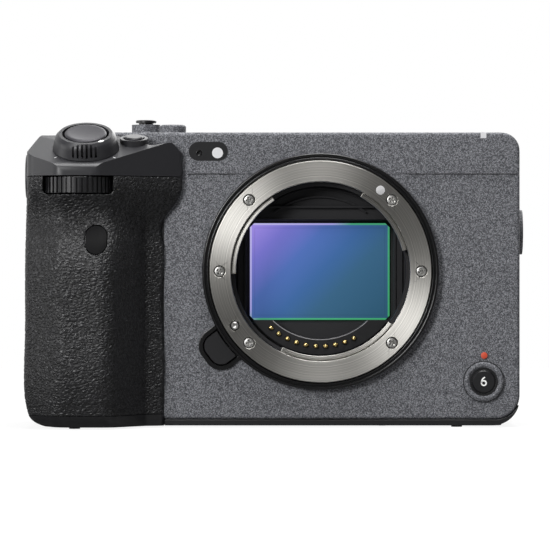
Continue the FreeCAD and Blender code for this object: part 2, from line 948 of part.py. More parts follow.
def make_front_cover():
    left, right = -size.grip_edge, size.body_right
    high = front_face
    low = size.parting_depth
    cover = Body("front_cover_body", "front")
    shape = outline(
        (left, cover_low), (right, cover_low, size.corner_cover), (right, cover_high), (left, cover_high)
    )
    cover.pad(shape, low, high - low)
    edge_limit = as_size(cover_high).number - hair

    def outer_edge(edge):
        box = edge.BoundBox
        return at_height(high)(edge) and box.YMin < edge_limit and box.XMax > left.number + hair

    cover.round_off("Fillet", size.edge_round, outer_edge)
    inner = outline(
        (left + size.wall, cover_low + size.wall),
        (right - size.wall, cover_low + size.wall, size.corner_cover - size.wall),
        (right - size.wall, cover_high + 1),
        (left + size.wall, cover_high + 1),
    )
    cover.pocket(inner, high - size.wall, high - size.wall - low + 1)
    cover.pad(circle(0, axis_height, size.trim_radius - gap), pad_back, size.pad_depth)
    well = release_outline(size.release_reach, size.release_half, size.release_corner)
    cover.pad(well, pad_back, size.pad_depth - size.release_setback)
    record = (size.record_across, size.record_height)
    proud = size.record_collar_proud
    cover.pad(circle(*record, size.record_collar), pad_back, size.pad_depth + proud)
    post_length = high - size.wall - yoke_front
    for x in (-size.post_across, size.post_across):
        for z in (axis_height - size.post_rise, axis_height + size.post_rise):
            cover.pad(circle(x, z, size.post_radius), yoke_front, post_length)
    cover.pocket(circle(0, axis_height, spigot_radius + gap), high, size.pad_depth + 1)
    button = release_outline(
        size.release_reach - size.release_rim,
        size.release_half - size.release_rim,
        size.release_corner - size.release_rim,
    )
    cover.pocket(button, high, size.release_depth + play)
    cover.pocket(circle(*record, size.record_button + play), high + proud, size.record_depth + 1)
    boss_low = right - size.wall - size.right_boss_length
    boss_origin = (boss_low, -size.right_boss_forward, size.right_boss_height)
    boss_length = size.right_boss_length + size.wall + size.right_boss_proud
    boss = rod("right_boss", "right", boss_origin, boss_radius, boss_length)
    hole_origin = (right_boss_face - insert_length - gap, *boss_origin[1:])
    hole = rod("right_boss_hole", "right", hole_origin, insert_radius, insert_length + 1)
    tools = [hole]
    for angle in SCREW_ANGLES:
        floor = pad_back + size.screw_floor
        bore = front_rod("mount_thread", angle, size.screw_circle, floor, size.screw_shank, size.pad_depth)
        tools.append(bore)
    tools.append(lock_pin_bore())
    whole = together("front_cover_whole", cover.body, boss)
    return node("front_cover", minus("front_cover", whole, *tools))


SCREW_ANGLES = [as_size(angle) for angle in (0, 45, 135, 180, 225, 315)]
yoke_front = (
    size.sensor_plane + size.sensor_lift - size.package_thickness - size.stage_thickness - size.yoke_gap - gap
)


def lock_pin_bore():
    low = size.flange_depth + size.lock_pin_proud - size.lock_pin_length - size.lock_pin_room
    radius = size.lock_pin_radius + play
    return front_rod("lock_pin_bore", size.lock_pin_angle, size.lock_pin_circle, low, radius, through)


# Lens mount


CLAWS = ((14, 48), (122.6, 59), (243.3, 80.3))  # first angle and sweep of each claw


def sector(name, low, radius, thickness, start, sweep):
    """A slice of a disc across the lens axis, from an angle through a sweep."""
    made = rod(name, "front", (0, -as_size(low), axis_height), radius, thickness)
    made.Angle = sweep
    turn = Rotation(Vector(0, 0, 1), start)
    made.Placement = Placement(made.Placement.Base, made.Placement.Rotation.multiply(turn))
    return made


def make_mount():
    thickness = size.flange_depth - flange_low
    origin = (0, -flange_low, axis_height)
    plate = ring("flange", "front", origin, size.flange_radius, size.throat_radius, thickness)
    spigot_back = flange_low - size.spigot_length
    spigot = ring(
        "spigot",
        "front",
        (0, -spigot_back, axis_height),
        spigot_radius,
        size.throat_radius,
        size.spigot_length,
    )
    claw_low = size.flange_depth - size.claw_setback - size.claw_thickness
    outer = size.throat_radius + size.claw_root
    sectors = [sector("claw", claw_low, outer, size.claw_thickness, start, sweep) for start, sweep in CLAWS]
    core = rod("claw_core", "front", lens, size.claw_radius, through)
    groove_low = claw_low + size.claw_thickness - size.claw_groove_depth
    groove_inner = size.throat_radius - size.claw_groove
    origin = (0, -groove_low, axis_height)
    groove = ring("claw_groove", "front", origin, size.throat_radius, groove_inner, through)
    claws = minus("claws", together("claw_sectors", *sectors), core)
    holes = [lock_pin_bore()]
    for angle in SCREW_ANGLES:
        head_low = size.flange_depth - size.screw_head_depth
        holes.append(front_rod("head_hole", angle, size.screw_circle, head_low, size.screw_head, through))
        low = flange_low - over
        holes.append(front_rod("shank_hole", angle, size.screw_circle, low, size.screw_shank, through))
    node("mount_ring", minus("mount_ring", together("mount_blank", plate, spigot, claws), groove, *holes))

    screws = []
    for angle in SCREW_ANGLES:
        head_low = size.flange_depth - size.screw_head_depth
        head_height = size.screw_head_depth - gap
        head = front_rod("screw_head", angle, size.screw_circle, head_low, size.screw_head, head_height)
        length = size.screw_length - head_height
        low = head_low - length
        shank = front_rod("screw_shank", angle, size.screw_circle, low, size.screw_shank, length + gap)
        floor = head_low + size.screw_drive_floor
        drive = front_rod("screw_drive", angle, size.screw_circle, floor, size.screw_drive, through)
        screws.append(minus("screw", together("screw_blank", head, shank), drive))
    group = doc.addObject("Part::Compound", "mount_screws")
    group.Links = screws
    node("mount_screws", group)

    trim = ring(
        "trim",
        "front",
        (0, -front_face, axis_height),
        size.trim_radius,
        size.flange_radius + gap,
        size.trim_height,
    )
    lobe = prism(
        "lobe",
        "front",
        release_outline(size.release_reach, size.release_half, size.release_corner),
        front_face,
        size.release_rim_height,
    )
    lobe = minus("lobe_cut", lobe, rod("lobe_core", "front", lens, size.flange_radius + gap, through))
    hole = prism(
        "release_hole",
        "front",
        release_outline(
            size.release_reach - size.release_rim,
            size.release_half - size.release_rim,
            size.release_corner - size.release_rim,
        ),
        front_face - over,
        through,
    )
    core = rod("hole_core", "front", lens, size.trim_radius - size.release_notch, through)
    hole = minus("release_hole_cut", hole, core)
    node("mount_trim_ring", minus("mount_trim_ring", together("trim_blank", trim, lobe), hole))

    inset = size.release_rim + play
    button = prism(
        "release",
        "front",
        release_outline(size.release_reach - inset, size.release_half - inset, size.release_corner - inset),
        front_face - size.release_depth + size.release_travel,
        size.release_depth - size.release_travel + size.release_proud,
    )
    core = rod("release_core", "front", lens, size.trim_radius + play, through)
    node("lens_release_button", minus("lens_release_button", button, core))

    low = size.flange_depth + size.lock_pin_proud - size.lock_pin_length
    pin = front_rod(
        "lens_lock_pin",
        size.lock_pin_angle,
        size.lock_pin_circle,
        low,
        size.lock_pin_radius,
        size.lock_pin_length,
    )
    node("lens_lock_pin", pin)


# Light baffle, contacts and shutter


def gate(name, low, length, margin=0):
    """The opening in front of the image sensor."""
    half_x, half_z = size.gate_half_width + margin, size.gate_half_height + margin
    shape = rectangle(-half_x, axis_height - half_z, half_x, axis_height + half_z, 1.0)
    return prism(name, "front", shape, low, length)


CONTACT_SECTOR = (210, 120)  # first angle and sweep of the contact block round the lens axis


def make_baffle():
    plate_front = pad_back - gap
    plate_back = plate_front - size.baffle_plate
    origin = (0, -plate_back, axis_height)
    plate = rod("baffle_plate", "front", origin, size.baffle_plate_radius, size.baffle_plate)
    tube_length = flange_low - size.baffle_short - plate_front
    outer = size.throat_radius - gap
    tube = ring("tube", "front", (0, -plate_front, axis_height), outer, outer - size.baffle_wall, tube_length)
    cut = gate("baffle_gate", plate_back - over, size.baffle_plate + over * 2)
    node("light_baffle", minus("light_baffle", together("baffle_blank", plate, tube), cut))

    depth = size.contact_front - plate_front
    start, sweep = CONTACT_SECTOR
    block_sector = sector("contact_sector", plate_front, size.contact_outer, depth, start, sweep)
    core = rod("contact_core", "front", lens, size.contact_inner, through)
    angles = [size.contact_first + size.contact_step * i for i in range(SIZES["contact_count"])]
    floor = plate_front + size.contact_floor
    bore = size.contact_radius + size.contact_fit
    bores = [front_rod("contact_bore", a, size.contact_circle, floor, bore, through) for a in angles]
    reach = size.contact_outer + over
    ends_low = axis_height - size.contact_ends
    above = block("contact_ends", (-reach, -front_face, ends_low), (reach, -plate_back, axis_height))
    node("contact_block", minus("contact_block", block_sector, core, above, *bores))
    pins = doc.addObject("Part::Compound", "contact_pins")
    low = size.contact_front + size.contact_proud - size.contact_length
    pins.Links = [
        front_rod("contact_pin", a, size.contact_circle, low, size.contact_radius, size.contact_length)
        for a in angles
    ]
    node("contact_pins", pins)


def make_shutter():
    front = pad_back - gap - size.baffle_plate - gap
    back = front - size.shutter_thickness
    half = size.shutter_half
    low, high = axis_height - size.shutter_bottom, axis_height + size.shutter_top
    frame = block("shutter_box", (-half, -front, low), (half, -back, high))
    skin = size.shutter_plate
    room = block(
        "shutter_room",
        (-half + size.shutter_side_wall, -front + skin, low + size.shutter_low_wall),
        (half - size.shutter_side_wall, -back - skin, high - size.shutter_high_wall),
    )
    cut = gate("shutter_gate", back - over, size.shutter_thickness + over * 2)
    node("shutter_frame", minus("shutter_frame", frame, room, cut))
    blade_low = axis_height + size.gate_half_height + size.blade_rest
    for index, name in enumerate(("upper_shutter_blade", "lower_shutter_blade")):
        y = -front + skin + size.blade_gap + (size.blade_thickness + size.blade_gap) * index
        corner = (-size.blade_half, y, blade_low)
        far = (size.blade_half, y + size.blade_thickness, blade_low + size.blade_height)
        node(name, block(name, corner, far))


# Image sensor, stabiliser and board


def centred(name, half_x, half_z, low, length, corner=size.sensor_corner):
    """A rounded plate across the lens axis."""
    shape = rectangle(-half_x, axis_height - half_z, half_x, axis_height + half_z, corner)
    return prism(name, "front", shape, low, length)


CHIPS = ((-16, 24), (8, 40), (-14, 50), (26, 22))  # middle of each chip on the main board


def make_sensor():
    package_front = size.sensor_plane + size.sensor_lift
    package_back = package_front - size.package_thickness
    package = centred(
        "package", size.package_half_width, size.package_half_height, package_back, size.package_thickness
    )
    die = centred(
        "die_recess",
        size.sensor_half_width - size.die_inset,
        size.sensor_half_height - size.die_inset,
        size.sensor_plane,
        through,
        size.die_corner,
    )
    node("image_sensor", minus("image_sensor", package, die))
    glass = centred(
        "sensor_glass",
        size.sensor_half_width,
        size.sensor_half_height,
        package_front,
        size.sensor_glass,
        size.sensor_corner,
    )
    node("sensor_glass", glass)
    stage_back = package_back - size.stage_thickness
    half_width, half_height = size.stage_half_width, size.stage_half_height
    stage = centred("sensor_stage", half_width, half_height, stage_back, size.stage_thickness)
    node("sensor_stage", stage)
    yoke_back = yoke_front - size.yoke_thickness
    yoke = centred(
        "yoke", size.yoke_half_width, size.yoke_half_height, yoke_back + gap, size.yoke_thickness - gap
    )
    half = size.yoke_window
    window = centred("yoke_window", half, half, yoke_back - over, size.yoke_thickness + over * 2)
    node("stabiliser_yoke", minus("stabiliser_yoke", yoke, window))
    board_front = yoke_back - size.board_gap
    board_back = board_front - size.board_thickness
    board = block(
        "board",
        (-size.board_left, -board_front, size.board_bottom),
        (size.board_right, -board_back, size.board_top),
    )
    chips = []
    for x, z in CHIPS:
        half = size.chip_half
        far = (x + half, -board_back + size.chip_thickness, z + half)
        chip = block("chip", (x - half, -board_back, z - half), far)
        chips.append(chip)
    node("main_board", together("main_board", board, *chips))


def make_fan():
    back = size.rear_depth - size.wall - gap
    half = size.fan_half
    x, z = size.fan_across, size.fan_height
    housing = block("fan_box", (x - half, back - size.fan_depth, z - half), (x + half, back, z + half))
    origin = (x, back - size.fan_wall, z)
    room = size.rotor_radius + play + size.rotor_room
    cavity = rod("fan_cavity", "front", origin, room, size.fan_depth - size.fan_wall + over)
    outlet = block(
        "fan_outlet",
        (x, back - size.fan_depth + size.fan_wall, z - size.outlet_low),
        (x + half + over, back - size.fan_wall, z + size.outlet_high),
    )
    node("fan_housing", minus("fan_housing", housing, cavity, outlet))
    rotor = Body("fan_rotor", "front", (x, back - size.fan_wall - play, z))
    length = size.fan_depth - size.fan_wall - play * 2
    rotor.pad(circle(0, 0, size.rotor_hub), 0, length)
    half = size.rotor_blade / 2
    blade = rectangle(size.rotor_hub - size.blade_root, -half, size.rotor_radius, half)
    made = rotor.pad(blade, size.blade_inset, length - size.blade_inset * 2)
    rotor.repeat(made, SIZES["rotor_count"])
    node("fan_rotor", rotor)


# Grip, its rubber and the hood


def grip_outline(level, inset):
    """One level of the grip in plan, drawn in by an inset where it is the core under the rubber."""
    reach = -size_of_level("reach", level) + inset
    side = -size_of_level("side", level) + inset
    end = -size_of_level("end", level)
    brow = size_of_level("brow", level)
    back = -front_face
    return outline(
        (side, back),
        (end - inset * size.end_inset, back),
        (
            end - size.end_slant - inset * size.slant_inset,
            back - size.end_depth - brow / size.brow_share + inset * size.end_inset,
            size.end_round,
        ),
        (-size.brow_across - inset * size.end_inset, back - brow + inset, size.brow_round),
        (-size_of_level("finger", level) - inset * size.finger_inset, reach, size.finger_round),
        (-size.finger_left, reach, size.finger_round),
        (side, reach + size_of_level("corner", level), size.finger_round),
    )


def size_of_level(word, level):
    return cell(f"grip_{word}_{level}")


def grip_loft(name, levels, inset):
    """A skin through several levels of the grip."""
    sections = []
    for level in levels:
        sketch = doc.addObject("Sketcher::SketchObject", fresh(name + "_level"))
        place(sketch, "top", (0, 0, size_of_level("height", level)))
        grip_outline(level, as_size(inset))(sketch)
        sections.append(sketch)
    made = doc.addObject("Part::Loft", fresh(name))
    made.Sections = sections
    made.Solid = True
    made.Ruled = False
    return made


def side_block(name, left, low, high, back, corner):
    """The part of the grip beside the body, behind the front face."""
    low, high = as_size(low), as_size(high)
    right = -size.grip_edge - gap
    shape = outline((left, low, corner), (right, low), (right, high), (left, high))
    return prism(name, "front", shape, -as_size(back), front_face + back)


def battery_room():
    grow = size.battery_gap
    right = -size.battery_right + grow
    left = right - size.battery_width - grow * 2
    back = size.battery_back + grow
    front = back - size.battery_depth - grow * 2
    high = size.battery_bottom + size.battery_height + grow
    shape = rectangle(left, front, right, back, size.battery_corner)
    return prism("battery_room", "top", shape, -1, high + 1)


def door_box(name, grow, low, high):
    """The battery door, or the recess that takes it when grown by the play."""
    margin = size.door_margin + grow
    right = -size.battery_right + margin
    left = -size.battery_right - size.battery_width - margin
    back = size.battery_back + margin
    front = size.battery_back - size.battery_depth - margin
    shape = outline((left, low), (right, low, size.door_round), (right, high), (left, high))
    return prism(name, "front", shape, -back, back - front)


def left_boss_hole(name, grow):
    start = -size.body_left - size.left_boss_proud + size.left_boss_length + grow
    origin = (start, size.left_boss_back, size.left_boss_height)
    return rod(name, "left", origin, size.left_boss_radius + grow, size.left_boss_length + 2)


def remote_prism(name, grow):
    x, z = -size.remote_across, size.remote_height
    half = size.remote_straight
    shape = stadium(x, z - half, x, z + half, size.remote_radius + grow)
    return prism(name, "front", shape, size.remote_depth, through)


def dial_room():
    """Space round the front dial, open through its window."""
    x, y = -size.front_dial_across, -size.front_dial_forward
    low = size.front_dial_low - play
    height = size_of_level("height", len(GRIP_LEVELS) - 1) - low
    disc = rod("dial_disc", "top", (x, y, low), size.front_dial_radius + play, height + over)
    half = size.dial_window_half
    corner = size.dial_window_corner
    high = low + height + over
    shape = outline((x - half, low, corner), (x + half, low, corner), (x + half, high), (x - half, high))
    window = prism("dial_window", "front", shape, size.front_dial_forward + size.dial_window_depth, through)
    return together("dial_room", disc, window)


def make_grip():
    seam = size_of_level("height", len(GRIP_LEVELS) - 1)
    skirt_top = size_of_level("height", 2)
    every = list(range(len(GRIP_LEVELS)))
    skirt = grip_loft("grip_skirt", every[:3], 0)
    core = grip_loft("grip_inner", every[2:], size.rubber)
    body_low = side_block("core_side", -size.body_left, 0, cover_high, size.grip_back, size.corner_left)
    blank = together("grip_blank", skirt, core, body_low)
    axle = rod(
        "front_axle_bore",
        "top",
        (-size.front_dial_across, -size.front_dial_forward, size.front_axle_low),
        size.dial_axle,
        size.axle_length,
    )
    recess = door_box("door_recess", play, -1, size.door_thickness + play)
    made = minus(
        "grip_core",
        blank,
        battery_room(),
        recess,
        dial_room(),
        axle,
        left_boss_hole("core_boss_hole", gap),
        remote_prism("core_remote", gap),
    )
    node("grip_core", made)

    outer = grip_loft("grip_outer", every[2:], 0)
    side_left = -size_of_level("side", 4)
    side = side_block("rubber_side", side_left, skirt_top, seam, size.rubber_back, size.rubber_corner)
    inner = grip_loft("rubber_inner", every[2:], size.rubber)
    back = size.rubber_back + over
    inner_side = side_block("rubber_side_inner", -size.body_left, 0, seam + over, back, size.corner_left)
    rubber = minus(
        "grip_rubber",
        together("rubber_blank", outer, side),
        inner,
        inner_side,
        dial_room(),
        left_boss_hole("rubber_boss_hole", play),
        remote_prism("rubber_remote", gap),
    )
    node("grip_rubber", rubber)
    outer = grip_loft("remote_skin", every[2:], 0)
    node("remote_window", meet("remote_window", remote_prism("remote_blank", 0), outer))


def lever_point():
    """Foot of the zoom lever's axis on the sloping deck."""
    tilt = size.deck_tilt
    drop = (size.lever_forward - front_face) * sine(tilt) / cosine(tilt)
    return (-size.lever_across, -size.lever_forward, size.deck_height - drop)


def perch_point():
    return (-size.perch_across, -size.perch_forward, size.perch_height)


def make_hood():
    top_level = len(GRIP_LEVELS) - 1
    seam = size_of_level("height", top_level) + gap / 2
    left, flare = -size.hood_left, -size.hood_flare
    blank = prism("hood_plan", "top", grip_outline(top_level, as_size(0)), seam, size.body_height - seam)
    view = outline(
        (left - over, seam),
        (flare + over, seam),
        (flare + over, size.hood_end_height),
        (-size.hood_crest, size.hood_crest_height, size.hood_crest_round),
        (-size.hood_notch, size.hood_notch_height, size.hood_notch_round),
        (-size.hood_top_right, size.hood_top),
        (-size.hood_top_left, size.hood_top, size.hood_top_round),
        (-size.hood_shoulder, size.hood_shoulder_height, size.hood_top_round),
        (left - over, size.hood_side_height, size.hood_side_round),
    )
    side = prism("hood_view", "front", view, front_face - over, through)
    reach = size_of_level("reach", top_level)
    slope = sine(size.deck_tilt) / cosine(size.deck_tilt)
    edge_height = size.deck_height - (reach - front_face) * slope
    profile = outline(
        (-front_face + size.hood_overlap, seam - over),
        (-reach, seam - over),
        (-reach, edge_height, size.hood_edge_round),
        (-front_face + size.hood_overlap, size.deck_height + slope * size.hood_overlap),
    )
    deck = prism("hood_deck", "right", profile, left - over, size.hood_left)
    shape = meet("hood_shape", meet("hood_ends", blank, side), deck)
    lever, perch = lever_point(), perch_point()
    origin = raised("deck", lever, -over)
    post = rod("lever_post", "deck", origin, size.lever_post, size.lever_post_height + over)
    collar_height = size.perch_sunk + size.perch_collar_height
    origin = raised("perch", perch, -size.perch_sunk)
    collar = rod("perch_collar", "perch", origin, size.perch_collar, collar_height)
    stem_origin = raised("deck", lever, -size.shutter_bore_depth)
    stem = rod("stem_bore", "deck", stem_origin, size.shutter_stem + play, through)
    bore_origin = raised("perch", perch, -size.perch_sunk)
    bore = rod("perch_bore", "perch", bore_origin, size.perch_button + play, collar_height + over)
    axle_origin = (-size.front_dial_across, -size.front_dial_forward, size.front_axle_low)
    axle = rod("hood_axle_bore", "top", axle_origin, size.dial_axle, size.axle_length)
    node("grip_hood", minus("grip_hood", together("hood_joined", shape, post, collar), stem, bore, axle))


def make_lever():
    lever = Body("zoom_lever", "deck", lever_point())
    rim, height = size.lever_rim, size.lever_height
    bore = size.lever_bore
    lever.turn(
        (bore, size.lever_lift),
        (size.lever_base, size.lever_lift),
        (rim + size.lever_flank, height - size.lever_chamfer_height),
        (rim - size.lever_chamfer, height),
        (bore, height),
    )
    grooves = []
    half = size.ridge_groove / 2
    inner = rim - size.ridge_depth
    for step in range(-3, 3):
        x = size.ridge_pitch * (step + 0.5)
        grooves.append(rectangle(x - half, -size.lever_base - over, x + half, -inner))
    lever.pocket(several(*grooves), height, height - size.ridge_foot)
    node("zoom_lever", lever)

    button = Body("shutter_button", "deck", lever_point())
    top = height + size.shutter_proud
    low = top - size.shutter_cap
    stem = size.shutter_stem
    button.turn(
        (0, -size.shutter_stem_depth),
        (stem, -size.shutter_stem_depth),
        (stem, low),
        (size.shutter_radius, low),
        (size.shutter_radius, top - size.button_edge),
        (size.shutter_radius - size.button_edge, top),
        (0, top),
    )
    node("shutter_button", button)

    perch = Body("deck_button", "perch", perch_point())
    top = size.perch_collar_height + size.perch_proud
    low = -size.perch_sunk + size.perch_room
    radius, edge = size.perch_button, size.button_edge
    perch.turn((0, low), (radius, low), (radius, top - edge), (radius - edge, top), (0, top))
    node("deck_button", perch)


def dial(name, origin, radius, low, thickness):
    """A knurled wheel on an upright axle."""
    x, y = origin
    wheel = Body(name, "top", (x, y, low))
    ring_shape = several(circle(0, 0, radius), circle(0, 0, size.dial_axle + size.axle_fit))
    wheel.pad(ring_shape, 0, thickness)
    half = size.tooth_width / 2
    tooth = rectangle(radius - size.tooth_depth, -half, radius + 1, half)
    made = wheel.pocket(tooth, thickness, thickness)
    wheel.repeat(made, SIZES["dial_teeth"])
    return node(name, wheel)


def make_dials():
    front = (-size.front_dial_across, -size.front_dial_forward)
    rear = (-size.rear_dial_across, size.rear_dial_back)
    dial("front_dial", front, size.front_dial_radius, size.front_dial_low, size.front_dial_thickness)
    dial("rear_dial", rear, size.rear_dial_radius, size.rear_dial_low, size.rear_dial_thickness)
    axles = doc.addObject("Part::Compound", "dial_axles")
    axles.Links = [
        rod("axle", "top", (*front, size.front_axle_low), size.dial_axle, size.axle_length),
        rod("axle", "top", (*rear, size.rear_axle_low), size.dial_axle, size.axle_length),
    ]
    node("dial_axles", axles)


# Top cover and what stands on it


def top_inserts():
    """Mouths of the three threads in the top."""
    return [
        (-size.top_thread_left, size.top_thread_left_depth),
        (size.top_thread_right, -size.top_thread_front),
        (size.top_thread_right, size.top_thread_rear),
    ]


def shoe_block(name, low, high, grow, back):
    x, y = size.shoe_across, -size.shoe_front
    half = size.shoe_half + grow
    return block(name, (x - half, y - grow, low), (x + half, back, high))


def switch_shape(grow, reach):
    x, y = -size.switch_across, size.switch_back
    half, width = size.switch_half + grow, size.switch_width / 2 + grow
    return rectangle(x - half, y - width, x + half + reach, y + width, size.switch_corner)


def make_top_cover():
    left, right, high = -size.body_left, size.body_right, size.body_height
    cover = Body("top_cover_body", "front")
    back = -size.rear_depth
    depth = size.rear_depth + front_face
    cover.pad(
        outline(
            (left, top_low),
            (right, top_low),
            (right, high, size.corner_top),
            (left, high, size.corner_top_left),
        ),
        back,
        depth,
    )
    low_number = as_size(top_low).number + hair

    def outer_edge(edge):
        ends = at_height(front_face)(edge) or at_height(back)(edge)
        return ends and edge.BoundBox.YMax > low_number

    cover.round_off("Fillet", size.edge_round, outer_edge)
    wall = size.wall
    cover.pocket(
        outline(
            (left + wall, top_low - 1),
            (right - wall, top_low - 1),
            (right - wall, high - wall, size.corner_top - wall),
            (left + wall, high - wall, size.corner_top_left - wall),
        ),
        front_face - wall,
        depth - wall * 2,
    )
    adds = []
    cuts = [rod("mount_clearance", "front", (0, -pad_back + gap, axis_height), size.trim_radius, through)]
    ceiling = high - wall
    for x, y in top_inserts():
        low = high - insert_length - size.boss_floor
        adds.append(rod("insert_boss", "top", (x, y, low), boss_radius, insert_length - over))
        cuts.append(rod("insert_hole", "top", (x, y, high - insert_length - gap), insert_radius, through))
    stick = (-size.stick_across, -size.stick_forward)
    gimbal_low = size.stick_pivot - size.gimbal_height / 2
    well = size.gimbal_radius + play
    well_low = gimbal_low - size.well_floor
    well_height = ceiling + gap * 2 - well_low
    adds.append(rod("stick_well", "top", (*stick, well_low), well + size.well_wall, well_height))
    collar_low = high - size.collar_root
    collar_height = size.stick_collar_top - collar_low
    adds.append(rod("stick_collar", "top", (*stick, collar_low), size.stick_collar, collar_height))
    room_height = size.gimbal_height + size.well_low + size.well_high
    cuts.append(rod("stick_room", "top", (*stick, gimbal_low - size.well_low), well, room_height))
    cuts.append(rod("stick_bore", "top", (*stick, gimbal_low), size.stick_collar_bore, through))
    button = (-size.top_button_across, -size.top_button_forward)
    origin = (*button, high - size.top_button_depth)
    cuts.append(rod("button_hole", "top", origin, size.top_button_radius + play, through))
    low, rear = size.shoe_floor - wall, size.rear_depth - wall
    adds.append(shoe_block("shoe_floor_block", low, ceiling + gap, wall, rear))
    cuts.append(shoe_block("shoe_recess", size.shoe_floor, high + over, play, size.rear_depth + over))
    switch = switch_shape(play, size.switch_travel)
    cuts.append(prism("switch_recess", "top", switch, high - size.switch_sunk, through))
    focus = stadium(
        -size.focus_across - size.focus_half,
        size.focus_height,
        -size.focus_across + size.focus_half,
        size.focus_height,
        size.focus_radius,
    )
    cuts.append(prism("focus_recess", "front", focus, front_face - size.focus_depth, through))
    cuts.append(tally("tally_recess"))
    cuts.append(left_boss_hole("top_boss_hole", gap))
    dial_origin = (-size.rear_dial_across, size.rear_dial_back, size.rear_dial_low - play)
    rise = size.rear_dial_thickness + play * 2
    cuts.append(rod("rear_dial_room", "top", dial_origin, size.rear_dial_radius + play, rise))
    hub_low = size.rear_dial_low + size.rear_dial_thickness + play
    hub = (*dial_origin[:2], hub_low)
    adds.append(rod("rear_hub", "top", hub, size.dial_axle + size.hub_wall, ceiling - hub_low + gap))
    origin = (*dial_origin[:2], size.rear_axle_low)
    cuts.append(rod("rear_axle_bore", "top", origin, size.dial_axle, size.axle_length))
    whole = together("top_cover_whole", cover.body, *adds)
    node("top_cover", minus("top_cover", whole, *cuts))

    node("tally_lamp", tally("tally_lamp"))


def tally(name):
    """Lamp let into the front top edge."""
    x, y = size.tally_across, -front_face
    half = size.tally_width / 2
    high = size.body_height
    return block(name, (x - half, y, high - size.tally_drop), (x + half, y + size.tally_length, high))


def make_focus_window():
    x0, x1 = -size.focus_across - size.focus_half, -size.focus_across + size.focus_half
    z = size.focus_height
    low = front_face - size.focus_depth
    plate = prism("focus_plate", "front", stadium(x0, z, x1, z, size.focus_radius), low, size.focus_depth)
    lamp_origin = (-size.lamp_across, -front_face + size.lamp_depth, size.lamp_height)
    pocket = rod("lamp_pocket", "front", lamp_origin, size.lamp_radius, through)
    origin = (-size.microphone_across, -front_face + size.microphone_depth, size.microphone_height)
    microphone = rod("microphone", "front", origin, size.microphone_radius, through)
    node("focus_window", minus("focus_window", plate, pocket, microphone))
    node("focus_lamp", rod("focus_lamp", "front", lamp_origin, size.lamp_radius, size.lamp_depth))


def make_top_controls():
    high = size.body_height
    button_low = high - size.top_button_depth + size.button_travel + gap
    origin = (-size.top_button_across, -size.top_button_forward, button_low)
    button = Body("top_button", "top", origin)
    rise = size.top_button_top - button_low
    radius, edge = size.top_button_radius, size.button_round
    button.turn((0, 0), (radius, 0), (radius, rise - edge), (radius - edge, rise), (0, rise))
    node("top_button", button)

    origin = (-size.stick_across, -size.stick_forward, size.stick_pivot)
    half = size.gimbal_height / 2
    inner = size.gimbal_radius - size.gimbal_wall
    low = raised("top", origin, -half)
    gimbal = ring("joystick_gimbal", "top", low, size.gimbal_radius, inner, size.gimbal_height)
    node("joystick_gimbal", gimbal)
    stick = Body("joystick", "top", origin)
    ball = size.stick_ball
    cap_high = size.stick_top - size.stick_pivot
    cap_low = cap_high - size.stick_cap_height
    stem, cap = size.stick_stem, size.stick_cap
    stick.turn(
        (0, -ball),
        (ball * 0.6, -ball * 0.8),
        (ball, 0),
        (ball * 0.8, ball * 0.6),
        (stem, ball),
        (size.stick_neck, ball + size.stick_neck_low),
        (size.stick_neck, cap_low),
        (cap, cap_low),
        (cap, cap_high - size.cap_edge_height),
        (cap - size.cap_edge, cap_high),
        (0, cap_high - size.cap_dish),
    )
    node("joystick", stick)

    low = high - size.switch_sunk + gap
    rise = size.switch_sunk + size.switch_proud - gap
    switch = prism("power_switch", "top", switch_shape(0, 0), low, rise)
    node("power_switch", switch)


def make_shoe():
    x, low = size.shoe_across, size.shoe_floor
    base = low + size.shoe_base
    slot = base + size.shoe_slot
    top = slot + size.shoe_lip
    outer, inner, mouth = size.shoe_half, size.shoe_slot_half, size.shoe_mouth_half
    rails = outline(
        (x - outer, low),
        (x + outer, low),
        (x + outer, top),
        (x + mouth, top),
        (x + mouth, slot),
        (x + inner, slot),
        (x + inner, base),
        (x - inner, base),
        (x - inner, slot),
        (x - mouth, slot),
        (x - mouth, top),
        (x - outer, top),
    )
    low = size.shoe_front - size.shoe_length
    node("accessory_shoe", prism("accessory_shoe", "front", rails, low, size.shoe_length))
    fit = size.shoe_fit
    flat, step = base + fit, slot - fit
    cover = outline(
        (x - inner + fit, flat),
        (x + inner - fit, flat),
        (x + inner - fit, step),
        (x + mouth - fit, step),
        (x + mouth - fit, top),
        (x - mouth + fit, top),
        (x - mouth + fit, step),
        (x - inner + fit, step),
    )
    node("shoe_cover", prism("shoe_cover", "front", cover, low, size.shoe_length))


# Rear cover, bottom plate and threads


